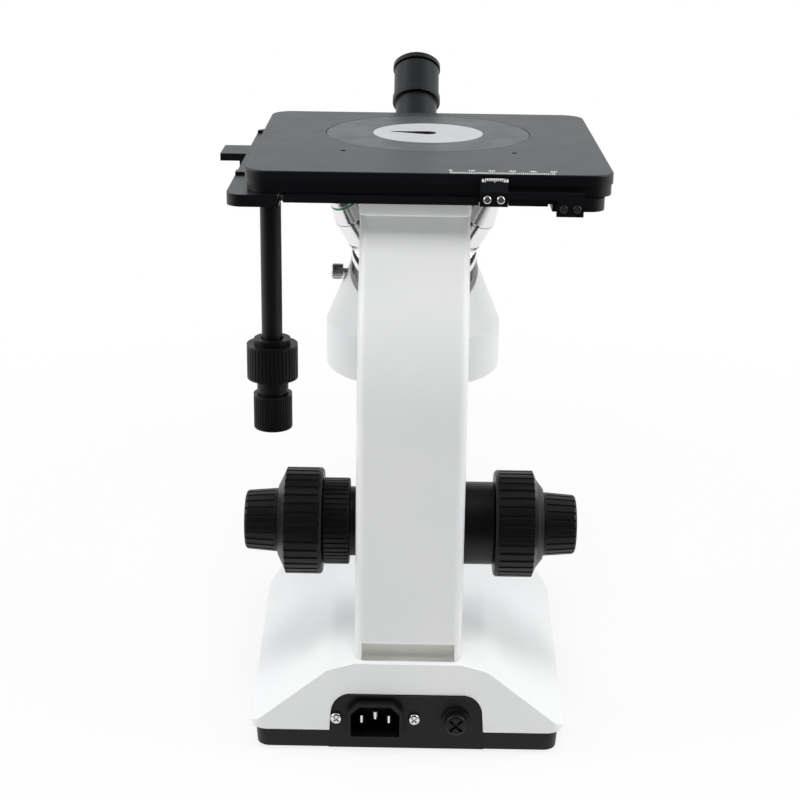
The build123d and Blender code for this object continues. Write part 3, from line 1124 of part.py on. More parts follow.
def plate_face(inset):
    """Plan of the stage plate with rounded corners."""
    face = Rectangle(STAGE_WIDTH - 2 * inset, STAGE_LENGTH - 2 * inset)
    return Pos(STAGE_OFFSET, STAGE_REAR + STAGE_LENGTH / 2) * fillet(face.vertices(), STAGE_CORNER - inset)


def drop_face():
    """Teardrop hole about the origin: round body with a tail that points along +X."""
    body = Circle(DROP_RADIUS)
    tail = Pos(DROP_LENGTH, 0) * Circle(DROP_TIP_RADIUS)
    return make_hull(body.edges() + tail.edges())


def build_stage_plates():
    """Top plate, ring, insert and the frame that slides along X."""
    middle = (STAGE_OFFSET, AXIS_Y)
    seat_z = STAGE_TOP - RING_THICK
    plate = along_z(plate_face(0), PLATE_BOTTOM, STAGE_TOP)
    plate = fillet(plate.edges().group_by(Axis.Z)[-1], STAGE_EDGE_RADIUS)
    plate = plate - rod(STAGE_HOLE_RADIUS, (*middle, PLATE_BOTTOM), (*middle, STAGE_TOP))
    plate = plate - rod(RING_RADIUS + RING_GAP, (*middle, seat_z - LAYER_GAP), (*middle, STAGE_TOP))
    for side in (-1, 1):
        x = STAGE_OFFSET + side * CLIP_HOLE_SPREAD
        plate = plate - rod(CLIP_HOLE_RADIUS, (x, CLIP_HOLE_Y, PLATE_BOTTOM), (x, CLIP_HOLE_Y, STAGE_TOP))
    save("stage_top_plate", plate)
    ring = rod(RING_RADIUS, (*middle, seat_z), (*middle, STAGE_TOP))
    ring = chamfer(ring.edges().group_by(Axis.Z)[-1], RING_GAP)
    ring = ring - rod(RING_BORE, (*middle, seat_z), (*middle, STAGE_TOP))
    pocket = STAGE_TOP - INSERT_THICK - LAYER_GAP
    save("stage_ring", ring - rod(INSERT_RADIUS + INSERT_GAP, (*middle, pocket), (*middle, STAGE_TOP)))
    insert = rod(INSERT_RADIUS, (*middle, STAGE_TOP - INSERT_THICK), (*middle, STAGE_TOP))
    drop = along_z(Pos(*middle) * Rot(0, 0, DROP_TURN) * drop_face(), seat_z, STAGE_TOP)
    save("specimen_insert", insert - drop)

    frame = along_z(plate_face(FRAME_INSET), FRAME_BOTTOM, PLATE_BOTTOM)
    frame = frame - rod(STAGE_HOLE_RADIUS, (*middle, FRAME_BOTTOM), (*middle, PLATE_BOTTOM))
    for y in (RAIL_REAR_Y, RAIL_FRONT_Y):
        half = RAIL_WIDTH / 2 + SLIDE_GAP
        channel = ((-STAGE_WIDTH, STAGE_WIDTH), (y - half, y + half))
        frame = frame - block(*channel, (FRAME_BOTTOM, LAYER_TOP + RAIL_HEIGHT + SLIDE_GAP))
    line = DRIVE_Y + X_PINION_RADIUS
    tip = X_PINION_RADIUS + 2 * DRIVE_MODULE
    low, high = DRIVE_X - X_RIGHT_TRAVEL - tip, DRIVE_X + X_LEFT_TRAVEL + tip
    pocket_top = FRAME_BOTTOM + PINION_HEIGHT + 3 * LAYER_GAP
    frame = frame - block((low, high), (DRIVE_Y - tip, line + DRIVE_RACK_THICK), (FRAME_BOTTOM, pocket_top))
    save("stage_x_frame", frame)
    rack = toothed_rack(high - low, DRIVE_MODULE, DRIVE_RACK_THICK, PINION_HEIGHT)
    pitch = pi * DRIVE_MODULE
    centre = DRIVE_X + round(((low + high) / 2 - DRIVE_X) / pitch) * pitch
    rack = Pos(centre, line, pocket_top - PINION_HEIGHT) * rack
    save("x_rack", rack & block((low, high), (line - tip, line + DRIVE_RACK_THICK), (FRAME_BOTTOM, pocket_top)))


def build_stage_carriers():
    """Fixed centre plate on the column and the slide that moves along Y."""
    plate = block((-CENTRE_HALF, CENTRE_HALF), (CENTRE_REAR, CENTRE_FRONT), (COLUMN_TOP, LAYER_TOP))
    plate = plate - rod(CENTRE_OPENING, (0, AXIS_Y, COLUMN_TOP), (0, AXIS_Y, LAYER_TOP))
    gap = (AXIS_Y, CENTRE_FRONT)
    plate = plate - block((-CENTRE_OPENING, CENTRE_OPENING), gap, (COLUMN_TOP, LAYER_TOP))
    low, high = COLUMN_TOP + TONGUE_LOW, COLUMN_TOP + TONGUE_HIGH
    side = CENTRE_HALF + TONGUE_DEPTH
    plate = plate + block((CENTRE_HALF, side), (CENTRE_REAR, CENTRE_FRONT), (low, high))
    plate = plate + block((-side, -CENTRE_HALF), (LEFT_TONGUE_START, CENTRE_FRONT), (low, high))
    line = DRIVE_X + Y_PINION_RADIUS
    rack_low = COLUMN_TOP + LAYER_GAP
    rack_y = (DRIVE_Y - Y_RACK_HALF, DRIVE_Y + Y_RACK_HALF)
    notch = block((-CENTRE_HALF, line + DRIVE_RACK_THICK), rack_y, (rack_low, LAYER_TOP))
    foot_way = block(
        (VERNIER_LEFT - FOOT_GAP, VERNIER_RIGHT + FOOT_GAP), (CENTRE_REAR, CENTRE_REAR + FOOT_SWEEP),
        (COLUMN_TOP, LAYER_TOP))
    save("stage_centre_plate", plate - notch - foot_way)
    rack = toothed_rack(2 * Y_RACK_HALF, DRIVE_MODULE, DRIVE_RACK_THICK, PINION_HEIGHT)
    place = Plane((line, DRIVE_Y, rack_low), x_dir=(0, -1, 0), z_dir=(0, 0, 1))
    save("y_rack", place * rack)

    slide = block((-Y_HALF, Y_HALF), (Y_REAR, Y_FRONT), (Y_BOTTOM, LAYER_TOP))
    slide = fillet(slide.edges().filter_by(Axis.Z), Y_CORNER)
    inner = CENTRE_HALF + ARM_GAP
    slide = slide - block((-inner, inner), (Y_REAR, Y_FRONT - Y_BAR_WIDTH), (Y_BOTTOM, LAYER_TOP))
    groove = side + SLIDE_GAP
    fit = SLIDE_GAP / 2
    slide = slide - block((-groove, groove), (Y_REAR, Y_FRONT - Y_BAR_WIDTH), (low - fit, high + fit))
    tab_top = LAYER_TOP - SLIDE_GAP
    tab = (TAB_REAR, TAB_REAR + TAB_LENGTH)
    slide = slide + block((-Y_HALF - TAB_REACH, TAB_ROOT - Y_HALF), tab, (tab_top - TAB_THICK, tab_top))
    lug = (TAB_REAR, TAB_REAR + LUG_LENGTH)
    slide = slide + block(
        (-Y_HALF - LUG_WIDTH, TAB_ROOT - Y_HALF), lug, (tab_top - TAB_THICK - LUG_DROP, tab_top))
    for y in (RAIL_REAR_Y, RAIL_FRONT_Y):
        rail = ((y - RAIL_WIDTH / 2, y + RAIL_WIDTH / 2), (LAYER_TOP, LAYER_TOP + RAIL_HEIGHT))
        for x_low, x_high in ((-Y_HALF, -inner), (inner, Y_HALF)):
            slide = slide + (block((x_low, x_high), *rail) & along_z(slide_face(), Y_BOTTOM, STAGE_TOP))
    tip = Y_PINION_RADIUS + 2 * DRIVE_MODULE
    slide = slide - rod(tip, (DRIVE_X, DRIVE_Y, COLUMN_TOP), (DRIVE_X, DRIVE_Y, LAYER_TOP))
    rack_back = line + SLIDE_GAP
    reach = (DRIVE_Y - Y_RACK_HALF - Y_TRAVEL - SLIDE_GAP, DRIVE_Y + Y_RACK_HALF + Y_TRAVEL + SLIDE_GAP)
    slide = slide - block((line - 2 * DRIVE_MODULE, rack_back), reach, (COLUMN_TOP - SLIDE_GAP, LAYER_TOP))
    slide = slide - rod(HOLLOW_RADIUS + RUN_GAP, (DRIVE_X, DRIVE_Y, Y_BOTTOM), (DRIVE_X, DRIVE_Y, LAYER_TOP))
    save("stage_y_slide", slide)


def slide_face():
    """Outer plan of the Y slide."""
    face = Rectangle(2 * Y_HALF, Y_FRONT - Y_REAR)
    return Pos(0, (Y_FRONT + Y_REAR) / 2) * fillet(face.vertices(), Y_CORNER)


def drive_place(z):
    """Frame on the stage drive's axis at a height."""
    return Pos(DRIVE_X, DRIVE_Y, z)


def build_drive():
    """Hanging tube with the two coaxial shafts and their knobs."""
    tube = drive_place(0) * rod(DRIVE_TUBE_RADIUS, (0, 0, DRIVE_TUBE_END), (0, 0, Y_BOTTOM))
    save("drive_tube", tube - drive_place(0) * rod(DRIVE_TUBE_BORE, (0, 0, DRIVE_TUBE_END), (0, 0, Y_BOTTOM)))
    pinion_low = COLUMN_TOP + LAYER_GAP
    bottom = Y_KNOB_BOTTOM + SLIDE_GAP
    hollow = rod(HOLLOW_RADIUS, (0, 0, bottom), (0, 0, pinion_low))
    hollow = hollow + Pos(0, 0, pinion_low) * toothed_wheel(Y_PINION_RADIUS, DRIVE_MODULE, PINION_HEIGHT)
    hollow = hollow - rod(INNER_RADIUS + RUN_GAP, (0, 0, bottom), (0, 0, pinion_low + PINION_HEIGHT))
    save("y_drive_shaft", drive_place(0) * hollow)
    points = [(HOLLOW_RADIUS, Y_KNOB_BOTTOM), (Y_KNOB_RADIUS, Y_KNOB_BOTTOM), (Y_KNOB_RADIUS, Y_KNOB_TOP)]
    mouth = DRIVE_TUBE_RADIUS + 2 * SLIDE_GAP
    cup = DRIVE_TUBE_END - 2 * SLIDE_GAP
    points += [(COLLAR_RADIUS, Y_KNOB_TOP), (COLLAR_RADIUS, COLLAR_TOP), (mouth, COLLAR_TOP), (mouth, cup)]
    points += [(HOLLOW_RADIUS, cup)]
    land = (Y_KNOB_BOTTOM + GROOVE_LAND, Y_KNOB_TOP - GROOVE_LAND)
    knob = grooved(spin(points), Y_KNOB_RADIUS, DRIVE_RIBS, DRIVE_RIB_RADIUS, *land)
    save("y_knob", drive_place(0) * knob)

    x_low = FRAME_BOTTOM + 2 * LAYER_GAP
    end = X_KNOB_BOTTOM + KNOB_ROUND
    inner = rod(INNER_RADIUS, (0, 0, end), (0, 0, x_low))
    wheel = Rot(0, 0, 90) * toothed_wheel(X_PINION_RADIUS, DRIVE_MODULE, PINION_HEIGHT)
    save("x_drive_shaft", drive_place(0) * (inner + Pos(0, 0, x_low) * wheel))
    neck_top = Y_KNOB_BOTTOM - SLIDE_GAP
    points = [(0, X_KNOB_BOTTOM), (X_KNOB_RADIUS, X_KNOB_BOTTOM), (X_KNOB_RADIUS, X_KNOB_TOP)]
    points += [(NECK_RADIUS, X_KNOB_TOP), (NECK_RADIUS, neck_top), (INNER_RADIUS, neck_top)]
    points += [(INNER_RADIUS, end), (0, end)]
    knob = spin(points)
    knob = fillet(knob.edges().group_by(Axis.Z)[0], KNOB_GAP)
    land = (X_KNOB_BOTTOM + GROOVE_LAND, X_KNOB_TOP - GROOVE_LAND)
    knob = grooved(knob, X_KNOB_RADIUS, DRIVE_RIBS, DRIVE_RIB_RADIUS, *land)
    save("x_knob", drive_place(0) * knob)


def build_vernier():
    """Bevelled vernier plate on its limb, with the screws that hold both."""
    rear = Y_REAR - LIMB_THICK
    front = STAGE_REAR - VERNIER_GAP
    low = LIMB_TOP - FOOT_DEPTH
    profile = [(rear, low), (Y_REAR, low), (Y_REAR, LIMB_TOP), (front, LIMB_TOP), (front, VERNIER_TOP)]
    profile += [(front - VERNIER_BEVEL, VERNIER_TOP), (rear, LIMB_TOP)]
    limb = along_x(polygon(profile), VERNIER_LEFT, VERNIER_RIGHT)
    limb = limb + block((VERNIER_LEFT, LIMB_RIGHT), (rear, Y_REAR), (LIMB_BOTTOM, LIMB_TOP))
    limb = limb + block((BLOCK_LEFT, LIMB_RIGHT), (rear, Y_REAR), (BLOCK_BOTTOM, LIMB_TOP))
    save("vernier_bracket", limb)
    screws = []
    block_x, block_z = (BLOCK_LEFT + LIMB_RIGHT) / 2, (BLOCK_BOTTOM + LAYER_TOP) / 2
    plate_x, plate_z = (VERNIER_LEFT + VERNIER_RIGHT) / 2, (low + LIMB_TOP) / 2
    for x, z in ((block_x, block_z), (plate_x, plate_z)):
        for side in (-1, 1):
            seat = Plane((x + side * BRACKET_SCREW_SPREAD, rear, z), x_dir=(1, 0, 0), z_dir=(0, -1, 0))
            head = rod(BRACKET_SCREW_RADIUS, (0, 0, 0), (0, 0, BRACKET_SCREW_HEAD))
            head = fillet(head.edges().group_by(Axis.Z)[-1], SCREW_DOME * BRACKET_SCREW_HEAD)
            screws.append(seat * head)
    save("bracket_screws", Compound(children=screws))


os.makedirs("parts", exist_ok=True)
build_base()
build_rear_panel()
build_controls()
build_supply()
build_column()
build_illuminator()
build_head()
build_focus()
build_slide()
build_nosepiece()
build_stage_plates()
build_stage_carriers()
build_drive()
build_vernier()
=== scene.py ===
"""Looks of an inverted metallurgical microscope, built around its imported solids. Units are metres."""
import json
import math

import bpy
import numpy as np
from mathutils import Matrix, Vector


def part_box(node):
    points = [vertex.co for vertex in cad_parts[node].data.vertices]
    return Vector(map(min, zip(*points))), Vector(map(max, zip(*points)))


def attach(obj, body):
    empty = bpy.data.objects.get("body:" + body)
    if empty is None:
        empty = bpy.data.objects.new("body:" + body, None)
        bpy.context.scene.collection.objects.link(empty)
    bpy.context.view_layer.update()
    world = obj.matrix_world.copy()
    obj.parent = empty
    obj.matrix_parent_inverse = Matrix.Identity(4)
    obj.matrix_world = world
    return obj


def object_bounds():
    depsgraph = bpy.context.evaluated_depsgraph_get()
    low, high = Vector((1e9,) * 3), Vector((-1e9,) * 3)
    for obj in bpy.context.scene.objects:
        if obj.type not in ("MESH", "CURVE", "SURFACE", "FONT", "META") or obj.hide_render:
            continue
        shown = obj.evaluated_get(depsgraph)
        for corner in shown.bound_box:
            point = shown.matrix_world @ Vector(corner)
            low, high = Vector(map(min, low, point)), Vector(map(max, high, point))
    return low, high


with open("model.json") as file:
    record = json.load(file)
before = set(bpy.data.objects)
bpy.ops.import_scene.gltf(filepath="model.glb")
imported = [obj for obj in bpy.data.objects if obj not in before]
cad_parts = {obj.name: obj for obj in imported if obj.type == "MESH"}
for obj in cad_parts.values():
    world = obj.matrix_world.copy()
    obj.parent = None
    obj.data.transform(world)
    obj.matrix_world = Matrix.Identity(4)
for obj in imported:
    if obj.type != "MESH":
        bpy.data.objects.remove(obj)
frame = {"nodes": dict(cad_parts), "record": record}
nodes = frame["nodes"]
cad_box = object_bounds()

MM = 0.001
BEYOND = 1.0  # farther than any piece reaches

# Camera, fitted to the photograph's stage, column and base
PICTURE_SIZE = 800
CAMERA_PLACE = (-1.7 * MM, -823.8 * MM, 448.1 * MM)
CAMERA_PITCH = math.radians(19.358)
CAMERA_ROLL = math.radians(-0.814)
CAMERA_YAW = math.radians(-0.329)
FOCAL_PIXELS = 1608.73
SENSOR_WIDTH = 36.0

# Places taken from the frame
stage_low, stage_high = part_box("stage_top_plate")
ring_low, ring_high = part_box("stage_ring")
vernier_low, vernier_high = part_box("vernier_bracket")
screws_low, screws_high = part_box("bracket_screws")
dial_low, dial_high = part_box("brightness_dial")
rocker_low, rocker_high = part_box("power_rocker")
column_low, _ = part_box("column")
_, insert_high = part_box("specimen_insert")
RING_MIDDLE = (ring_low + ring_high) / 2
STAGE_TOP = stage_high.z

# Turret, whose axis leans from its apex, and the objectives' seats on it
TURRET_APEX = Vector((0, 54.0 * MM, 193.0 * MM))
TURRET_LEAN = math.radians(25.0)
OBJECTIVE_SHOULDER = 56.7 * MM
OBJECTIVE_RADIUS = 11.2 * MM
OBJECTIVE_WAIST = 22.0 * MM
OBJECTIVE_NOSE = 2.0 * MM
GRIP_MIDDLE = (0, 0, 38.8 * MM)
GRIP_HALF = (BEYOND, BEYOND, 4.6 * MM)

# Part of the column inside its vent window, where a lighter colour is painted as painted light on the
# recess's shaded back
VENT_TOP = 57.62 * MM
VENT_INSET = 4.2 * MM
VENT_HALF_WIDTH = 23.76 * MM
VENT_HALF_DEPTH = 4.0 * MM
VENT_SPARE = 1.0 * MM
VENT_MIDDLE = (0, column_low.y + VENT_INSET, (column_low.z + VENT_TOP) / 2)
VENT_HALF = (VENT_HALF_WIDTH, VENT_HALF_DEPTH, (VENT_TOP - column_low.z) / 2 + VENT_SPARE)

# Painted shade on the insert: all of it below its top face, inside its rim, is painted black as painted shade
# in the hole and below
UNDER_DEPTH = 5.0 * MM
UNDER_SKIN = 0.04 * MM
UNDER_REACH = 26.0 * MM
HOLE_SHADE_MIDDLE = (RING_MIDDLE.x, RING_MIDDLE.y, insert_high.z - UNDER_SKIN - UNDER_DEPTH)
HOLE_SHADE_HALF = (UNDER_REACH, UNDER_REACH, UNDER_DEPTH)

# Blackened screws of the bracket: the ones on its block
BLOCK_MIDDLE = (80.0 * MM, 0, 0)
BLOCK_HALF = (20.0 * MM, BEYOND, BEYOND)

TURN_SEGMENTS = 96


def set_on(name, mesh, finish, body):
    """Makes a piece from a mesh and its finish, and sets it on a body."""
    mesh.materials.clear()
    mesh.materials.append(finish.material)
    piece = bpy.data.objects.new(name, mesh)
    bpy.context.scene.collection.objects.link(piece)
    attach(piece, body)


def put_mesh(name, points, faces, finish, body, slot):
    """Makes a flat-shaded piece from arrays of points and faces and sets it on a body."""
    mesh = bpy.data.meshes.new(name)
    mesh.from_pydata(np.asarray(points).tolist(), [], [list(face) for face in faces])
    mesh.validate()
    mesh.update()
    set_on(name, mesh, finish, body)


def turned(profile):
    """Surface of revolution: each (radius, height) point of a closed profile goes once round Z."""
    profile = np.asarray(profile, float)
    turn = np.linspace(0, 2 * np.pi, TURN_SEGMENTS, endpoint=False)
    radius, height = profile[:, :1], profile[:, 1:]
    points = np.stack([radius * np.cos(turn), radius * np.sin(turn), height + 0 * turn], axis=-1)
    row, column = np.meshgrid(np.arange(len(profile)), np.arange(TURN_SEGMENTS), indexing="ij")
    after, beside = (row + 1) % len(profile), (column + 1) % TURN_SEGMENTS
    corners = ((row, column), (row, beside), (after, beside), (after, column))
    faces = np.stack([line * TURN_SEGMENTS + place for line, place in corners], axis=-1)
    return points.reshape(-1, 3), faces.reshape(-1, 4)


def bars(middles, sizes):
    """Upright boxes, one for each row of middles and sizes: middle + size * corner for eight half corners."""
    middles, sizes = np.asarray(middles, float), np.asarray(sizes, float)
    corner = np.array([[x, y, z] for z in (-1, 1) for y in (-1, 1) for x in (-1, 1)]) / 2
    side = np.array([[0, 2, 3, 1], [4, 5, 7, 6], [0, 1, 5, 4], [2, 6, 7, 3], [0, 4, 6, 2], [1, 3, 7, 5]])
    points = middles[:, None, :] + sizes[:, None, :] * corner
    faces = side[None] + len(corner) * np.arange(len(middles))[:, None, None]
    return points.reshape(-1, 3), faces.reshape(-1, 4)


def placed(points, matrix):
    """Points carried by a matrix: each is turned and then moved."""
    matrix = np.array(matrix)
    return points @ matrix[:3, :3].T + matrix[:3, 3]


# Effects that several finishes share
MOTTLE_DETAIL = 4.0
MOTTLE_SPAN = (0.35, 0.65)
GRAIN_DETAIL = 3.0
LATHE_WAVER = 1.5
LATHE_DETAIL = 2.0


def maths(tree, operation, first, second):
    """One Math node on two values, each a socket or a number."""
    node = tree.nodes.new("ShaderNodeMath")
    node.operation = operation
    for socket, value in zip(node.inputs, (first, second)):
        if isinstance(value, (int, float)):
            socket.default_value = value
        else:
            tree.links.new(value, socket)
    return node.outputs["Value"]


def new_group(name, vectors, numbers, output):
    """Empty shader group with vector inputs, number inputs and one number as its output."""
    group = bpy.data.node_groups.new(name, "ShaderNodeTree")
    for sockets, kind in ((vectors, "NodeSocketVector"), (numbers, "NodeSocketFloat")):
        for socket in sockets:
            group.interface.new_socket(socket, in_out="INPUT", socket_type=kind)
    group.interface.new_socket(output, in_out="OUTPUT", socket_type="NodeSocketFloat")
    inside, outside = group.nodes.new("NodeGroupInput"), group.nodes.new("NodeGroupOutput")
    return group, inside.outputs, outside.inputs[output]


def mottle_group():
    """Slow cloudy change over a surface, mapped between a low and a high value."""
    group, given, result = new_group("slow_mottle", ["Vector"], ["Scale", "Low", "High"], "Value")
    noise = group.nodes.new("ShaderNodeTexNoise")
    noise.inputs["Detail"].default_value = MOTTLE_DETAIL
    spread = group.nodes.new("ShaderNodeMapRange")
    spread.inputs["From Min"].default_value, spread.inputs["From Max"].default_value = MOTTLE_SPAN
    group.links.new(given["Vector"], noise.inputs["Vector"])
    group.links.new(given["Scale"], noise.inputs["Scale"])
    group.links.new(noise.outputs["Fac"], spread.inputs["Value"])
    group.links.new(given["Low"], spread.inputs["To Min"])
    group.links.new(given["High"], spread.inputs["To Max"])
    group.links.new(spread.outputs["Result"], result)
    return group


def grain_group():
    """Fine moulded or blasted grain: rounded cells broken up by noise, as a height."""
    group, given, result = new_group("fine_grain", ["Vector"], ["Scale"], "Height")
    cells = group.nodes.new("ShaderNodeTexVoronoi")
    cells.feature = "SMOOTH_F1"
    noise = group.nodes.new("ShaderNodeTexNoise")
    noise.inputs["Detail"].default_value = GRAIN_DETAIL
    for texture in (cells, noise):
        group.links.new(given["Vector"], texture.inputs["Vector"])
        group.links.new(given["Scale"], texture.inputs["Scale"])
    group.links.new(maths(group, "MULTIPLY", cells.outputs["Distance"], noise.outputs["Fac"]), result)
    return group


def lathe_group():
    """Turning marks: fine concentric lines about the Z of the vector it is given, as a height."""
    group, given, result = new_group("turning_marks", ["Vector"], ["Scale"], "Height")
    wave = group.nodes.new("ShaderNodeTexWave")
    wave.wave_type = "RINGS"
    wave.rings_direction = "Z"
    wave.inputs["Distortion"].default_value = LATHE_WAVER
    wave.inputs["Detail"].default_value = LATHE_DETAIL
    group.links.new(given["Vector"], wave.inputs["Vector"])
    group.links.new(given["Scale"], wave.inputs["Scale"])
    group.links.new(wave.outputs["Fac"], result)
    return group


def window_group():
    """Mask that is one inside an upright box: the largest of |place - middle| - half is below zero."""
    group, given, result = new_group("box_mask", ["Vector", "Middle", "Half"], [], "Mask")
    away, size, over = (group.nodes.new("ShaderNodeVectorMath") for _ in range(3))
    away.operation, size.operation, over.operation = "SUBTRACT", "ABSOLUTE", "SUBTRACT"
    parts = group.nodes.new("ShaderNodeSeparateXYZ")
    group.links.new(given["Vector"], away.inputs[0])
    group.links.new(given["Middle"], away.inputs[1])
    group.links.new(away.outputs["Vector"], size.inputs[0])
    group.links.new(size.outputs["Vector"], over.inputs[0])
    group.links.new(given["Half"], over.inputs[1])
    group.links.new(over.outputs["Vector"], parts.inputs["Vector"])
    largest = maths(group, "MAXIMUM", parts.outputs["X"], parts.outputs["Y"])
    largest = maths(group, "MAXIMUM", largest, parts.outputs["Z"])
    group.links.new(maths(group, "LESS_THAN", largest, 0.0), result)
    return group


MOTTLE, GRAIN, LATHE, WINDOW = mottle_group(), grain_group(), lathe_group(), window_group()


class Finish:
    """One material: its tree, its Principled shader and its object coordinates."""

    def __init__(self, name, **values):
        self.material = bpy.data.materials.new(name)
        self.material.use_nodes = True
        self.tree = self.material.node_tree
        self.shader = self.tree.nodes["Principled BSDF"]
        self.place = self.tree.nodes.new("ShaderNodeTexCoord").outputs["Object"]
        for socket, value in values.items():
            self.shader.inputs[socket.replace("_", " ")].default_value = value

    def group(self, shared, vector=None, **values):
        """Places a shared effect with its own values and returns its only output."""
        node = self.tree.nodes.new("ShaderNodeGroup")
        node.node_tree = shared
        self.tree.links.new(vector or self.place, node.inputs["Vector"])
        for socket, value in values.items():
            node.inputs[socket].default_value = value
        return node.outputs[0]

    def centred(self, middle, turn=(0, 0, 0)):
        """Object coordinates moved so that a point becomes their middle, and turned."""
        mapping = self.tree.nodes.new("ShaderNodeMapping")
        mapping.vector_type = "TEXTURE"
        mapping.inputs["Location"].default_value = middle
        mapping.inputs["Rotation"].default_value = turn
        self.tree.links.new(self.place, mapping.inputs["Vector"])
        return mapping.outputs["Vector"]

    def colours(self, scale, dark, light):
        """Base colour that drifts between two colours."""
        drift = self.group(MOTTLE, Scale=scale, Low=0.0, High=1.0)
        mix = self.tree.nodes.new("ShaderNodeMix")
        mix.data_type = "RGBA"
        mix.inputs["A"].default_value = (*dark, 1)
        mix.inputs["B"].default_value = (*light, 1)
        self.tree.links.new(drift, mix.inputs["Factor"])
        self.tree.links.new(mix.outputs["Result"], self.shader.inputs["Base Color"])

    def rough(self, scale, low, high):
        """Roughness that drifts between two values."""
        drift = self.group(MOTTLE, Scale=scale, Low=low, High=high)
        self.tree.links.new(drift, self.shader.inputs["Roughness"])

    def grain(self, scale, strength, depth=0.1 * MM):
        """Bump from the fine grain."""
        self.bump(self.group(GRAIN, Scale=scale), strength, depth)

    def turning_marks(self, middle, scale, strength, depth=0.1 * MM):
        """Bump from turning marks about a point."""
        self.bump(self.group(LATHE, vector=self.centred(tuple(middle)), Scale=scale), strength, depth)

    def bump(self, height, strength, depth):
        """Bump from a height that changes over the surface."""
        bump = self.tree.nodes.new("ShaderNodeBump")
        bump.inputs["Strength"].default_value = strength
        bump.inputs["Distance"].default_value = depth
        self.tree.links.new(height, bump.inputs["Height"])
        self.tree.links.new(bump.outputs["Normal"], self.shader.inputs["Normal"])

    def over(self, mask, colour):
        """Lays a second colour over the base colour where a mask is one."""
        below = self.shader.inputs["Base Color"].links[0].from_socket
        mix = self.tree.nodes.new("ShaderNodeMix")
        mix.data_type = "RGBA"
        mix.inputs["B"].default_value = (*colour, 1)
        self.tree.links.new(mask, mix.inputs["Factor"])
        self.tree.links.new(below, mix.inputs["A"])
        self.tree.links.new(mix.outputs["Result"], self.shader.inputs["Base Color"])

    def metal(self, mask, bare, masked):
        """Metallic share that goes from its bare value to another where a mask is one."""
        change = self.tree.nodes.new("ShaderNodeMapRange")
        change.inputs["To Min"].default_value = bare
        change.inputs["To Max"].default_value = masked
        self.tree.links.new(mask, change.inputs["Value"])
        self.tree.links.new(change.outputs["Result"], self.shader.inputs["Metallic"])


def white_enamel(name="white_enamel"):
    """Stove enamel: clean cool white with a faint orange peel."""
    finish = Finish(name, Coat_Weight=0.15, Coat_Roughness=0.2)
    finish.colours(scale=14.0, dark=(0.795, 0.80, 0.805), light=(0.825, 0.825, 0.825))
    finish.rough(scale=45.0, low=0.36, high=0.44)
    finish.grain(scale=900.0, strength=0.04, depth=0.15 * MM)
    return finish


def column_enamel():
    """The same enamel, with a lighter warm white painted in the vent window as painted light on its shaded
    back.
    """
    finish = white_enamel("column_enamel")
    # painted light: the vent window's back is painted lighter than the enamel to stand in for the light that
    # its shade keeps out
    finish.over(finish.group(WINDOW, Middle=VENT_MIDDLE, Half=VENT_HALF), colour=(0.88, 0.88, 0.83))
    return finish


def moulded_black():
    """Black moulded plastic with a fine spark-eroded grain."""
    finish = Finish("moulded_black", Specular_IOR_Level=0.26)
    finish.colours(scale=30.0, dark=(0.0032, 0.0032, 0.0040), light=(0.0052, 0.0052, 0.0062))
    finish.rough(scale=80.0, low=0.36, high=0.44)
    finish.grain(scale=2600.0, strength=0.10)
    return finish


def black_anodised():
    """Bead-blasted and black anodised aluminium."""
    finish = Finish("black_anodised", Specular_IOR_Level=0.38)
    finish.colours(scale=24.0, dark=(0.0026, 0.0030, 0.0042), light=(0.0036, 0.0040, 0.0054))
    finish.rough(scale=60.0, low=0.39, high=0.41)
    finish.grain(scale=3200.0, strength=0.08)
    return finish


def ring_anodised():
    """Dark anodised ring with turning marks about its middle."""
    finish = Finish("ring_anodised", Metallic=0.2)
    finish.colours(scale=40.0, dark=(0.024, 0.025, 0.027), light=(0.030, 0.031, 0.033))
    finish.rough(scale=90.0, low=0.36, high=0.42)
    finish.turning_marks(RING_MIDDLE, scale=900.0, strength=0.06)
    return finish


def ground_steel():
    """Ground bright steel of shafts, slides and racks."""
    finish = Finish("ground_steel", Metallic=1.0)
    finish.colours(scale=50.0, dark=(0.70, 0.70, 0.71), light=(0.78, 0.78, 0.79))
    finish.rough(scale=120.0, low=0.26, high=0.34)
    finish.grain(scale=2500.0, strength=0.05)
    return finish


def insert_aluminium():
    """Matt white aluminium of the insert, turned about its middle, with painted shade: black in the hole and
    below its top face.
    """
    finish = Finish("insert_aluminium")
    finish.colours(scale=50.0, dark=(0.52, 0.52, 0.54), light=(0.55, 0.55, 0.575))
    finish.rough(scale=120.0, low=0.52, high=0.60)
    finish.turning_marks(RING_MIDDLE, scale=1200.0, strength=0.03)
    # painted shade: near-black, non-metallic colour below the top face stands in for the shadow in the hole
    # and underneath
    painted_hole_shade = finish.group(WINDOW, Middle=HOLE_SHADE_MIDDLE, Half=HOLE_SHADE_HALF)
    finish.over(painted_hole_shade, colour=(0.006, 0.006, 0.007))
    finish.metal(painted_hole_shade, bare=0.35, masked=0.0)
    return finish


def nickel_plate():
    """Warm bright nickel with slight handling marks."""
    finish = Finish("nickel_plate", Metallic=1.0)
    finish.colours(scale=300.0, dark=(0.72, 0.71, 0.69), light=(0.80, 0.79, 0.77))
    finish.rough(scale=400.0, low=0.16, high=0.24)
    finish.grain(scale=4000.0, strength=0.03, depth=0.05 * MM)
    return finish


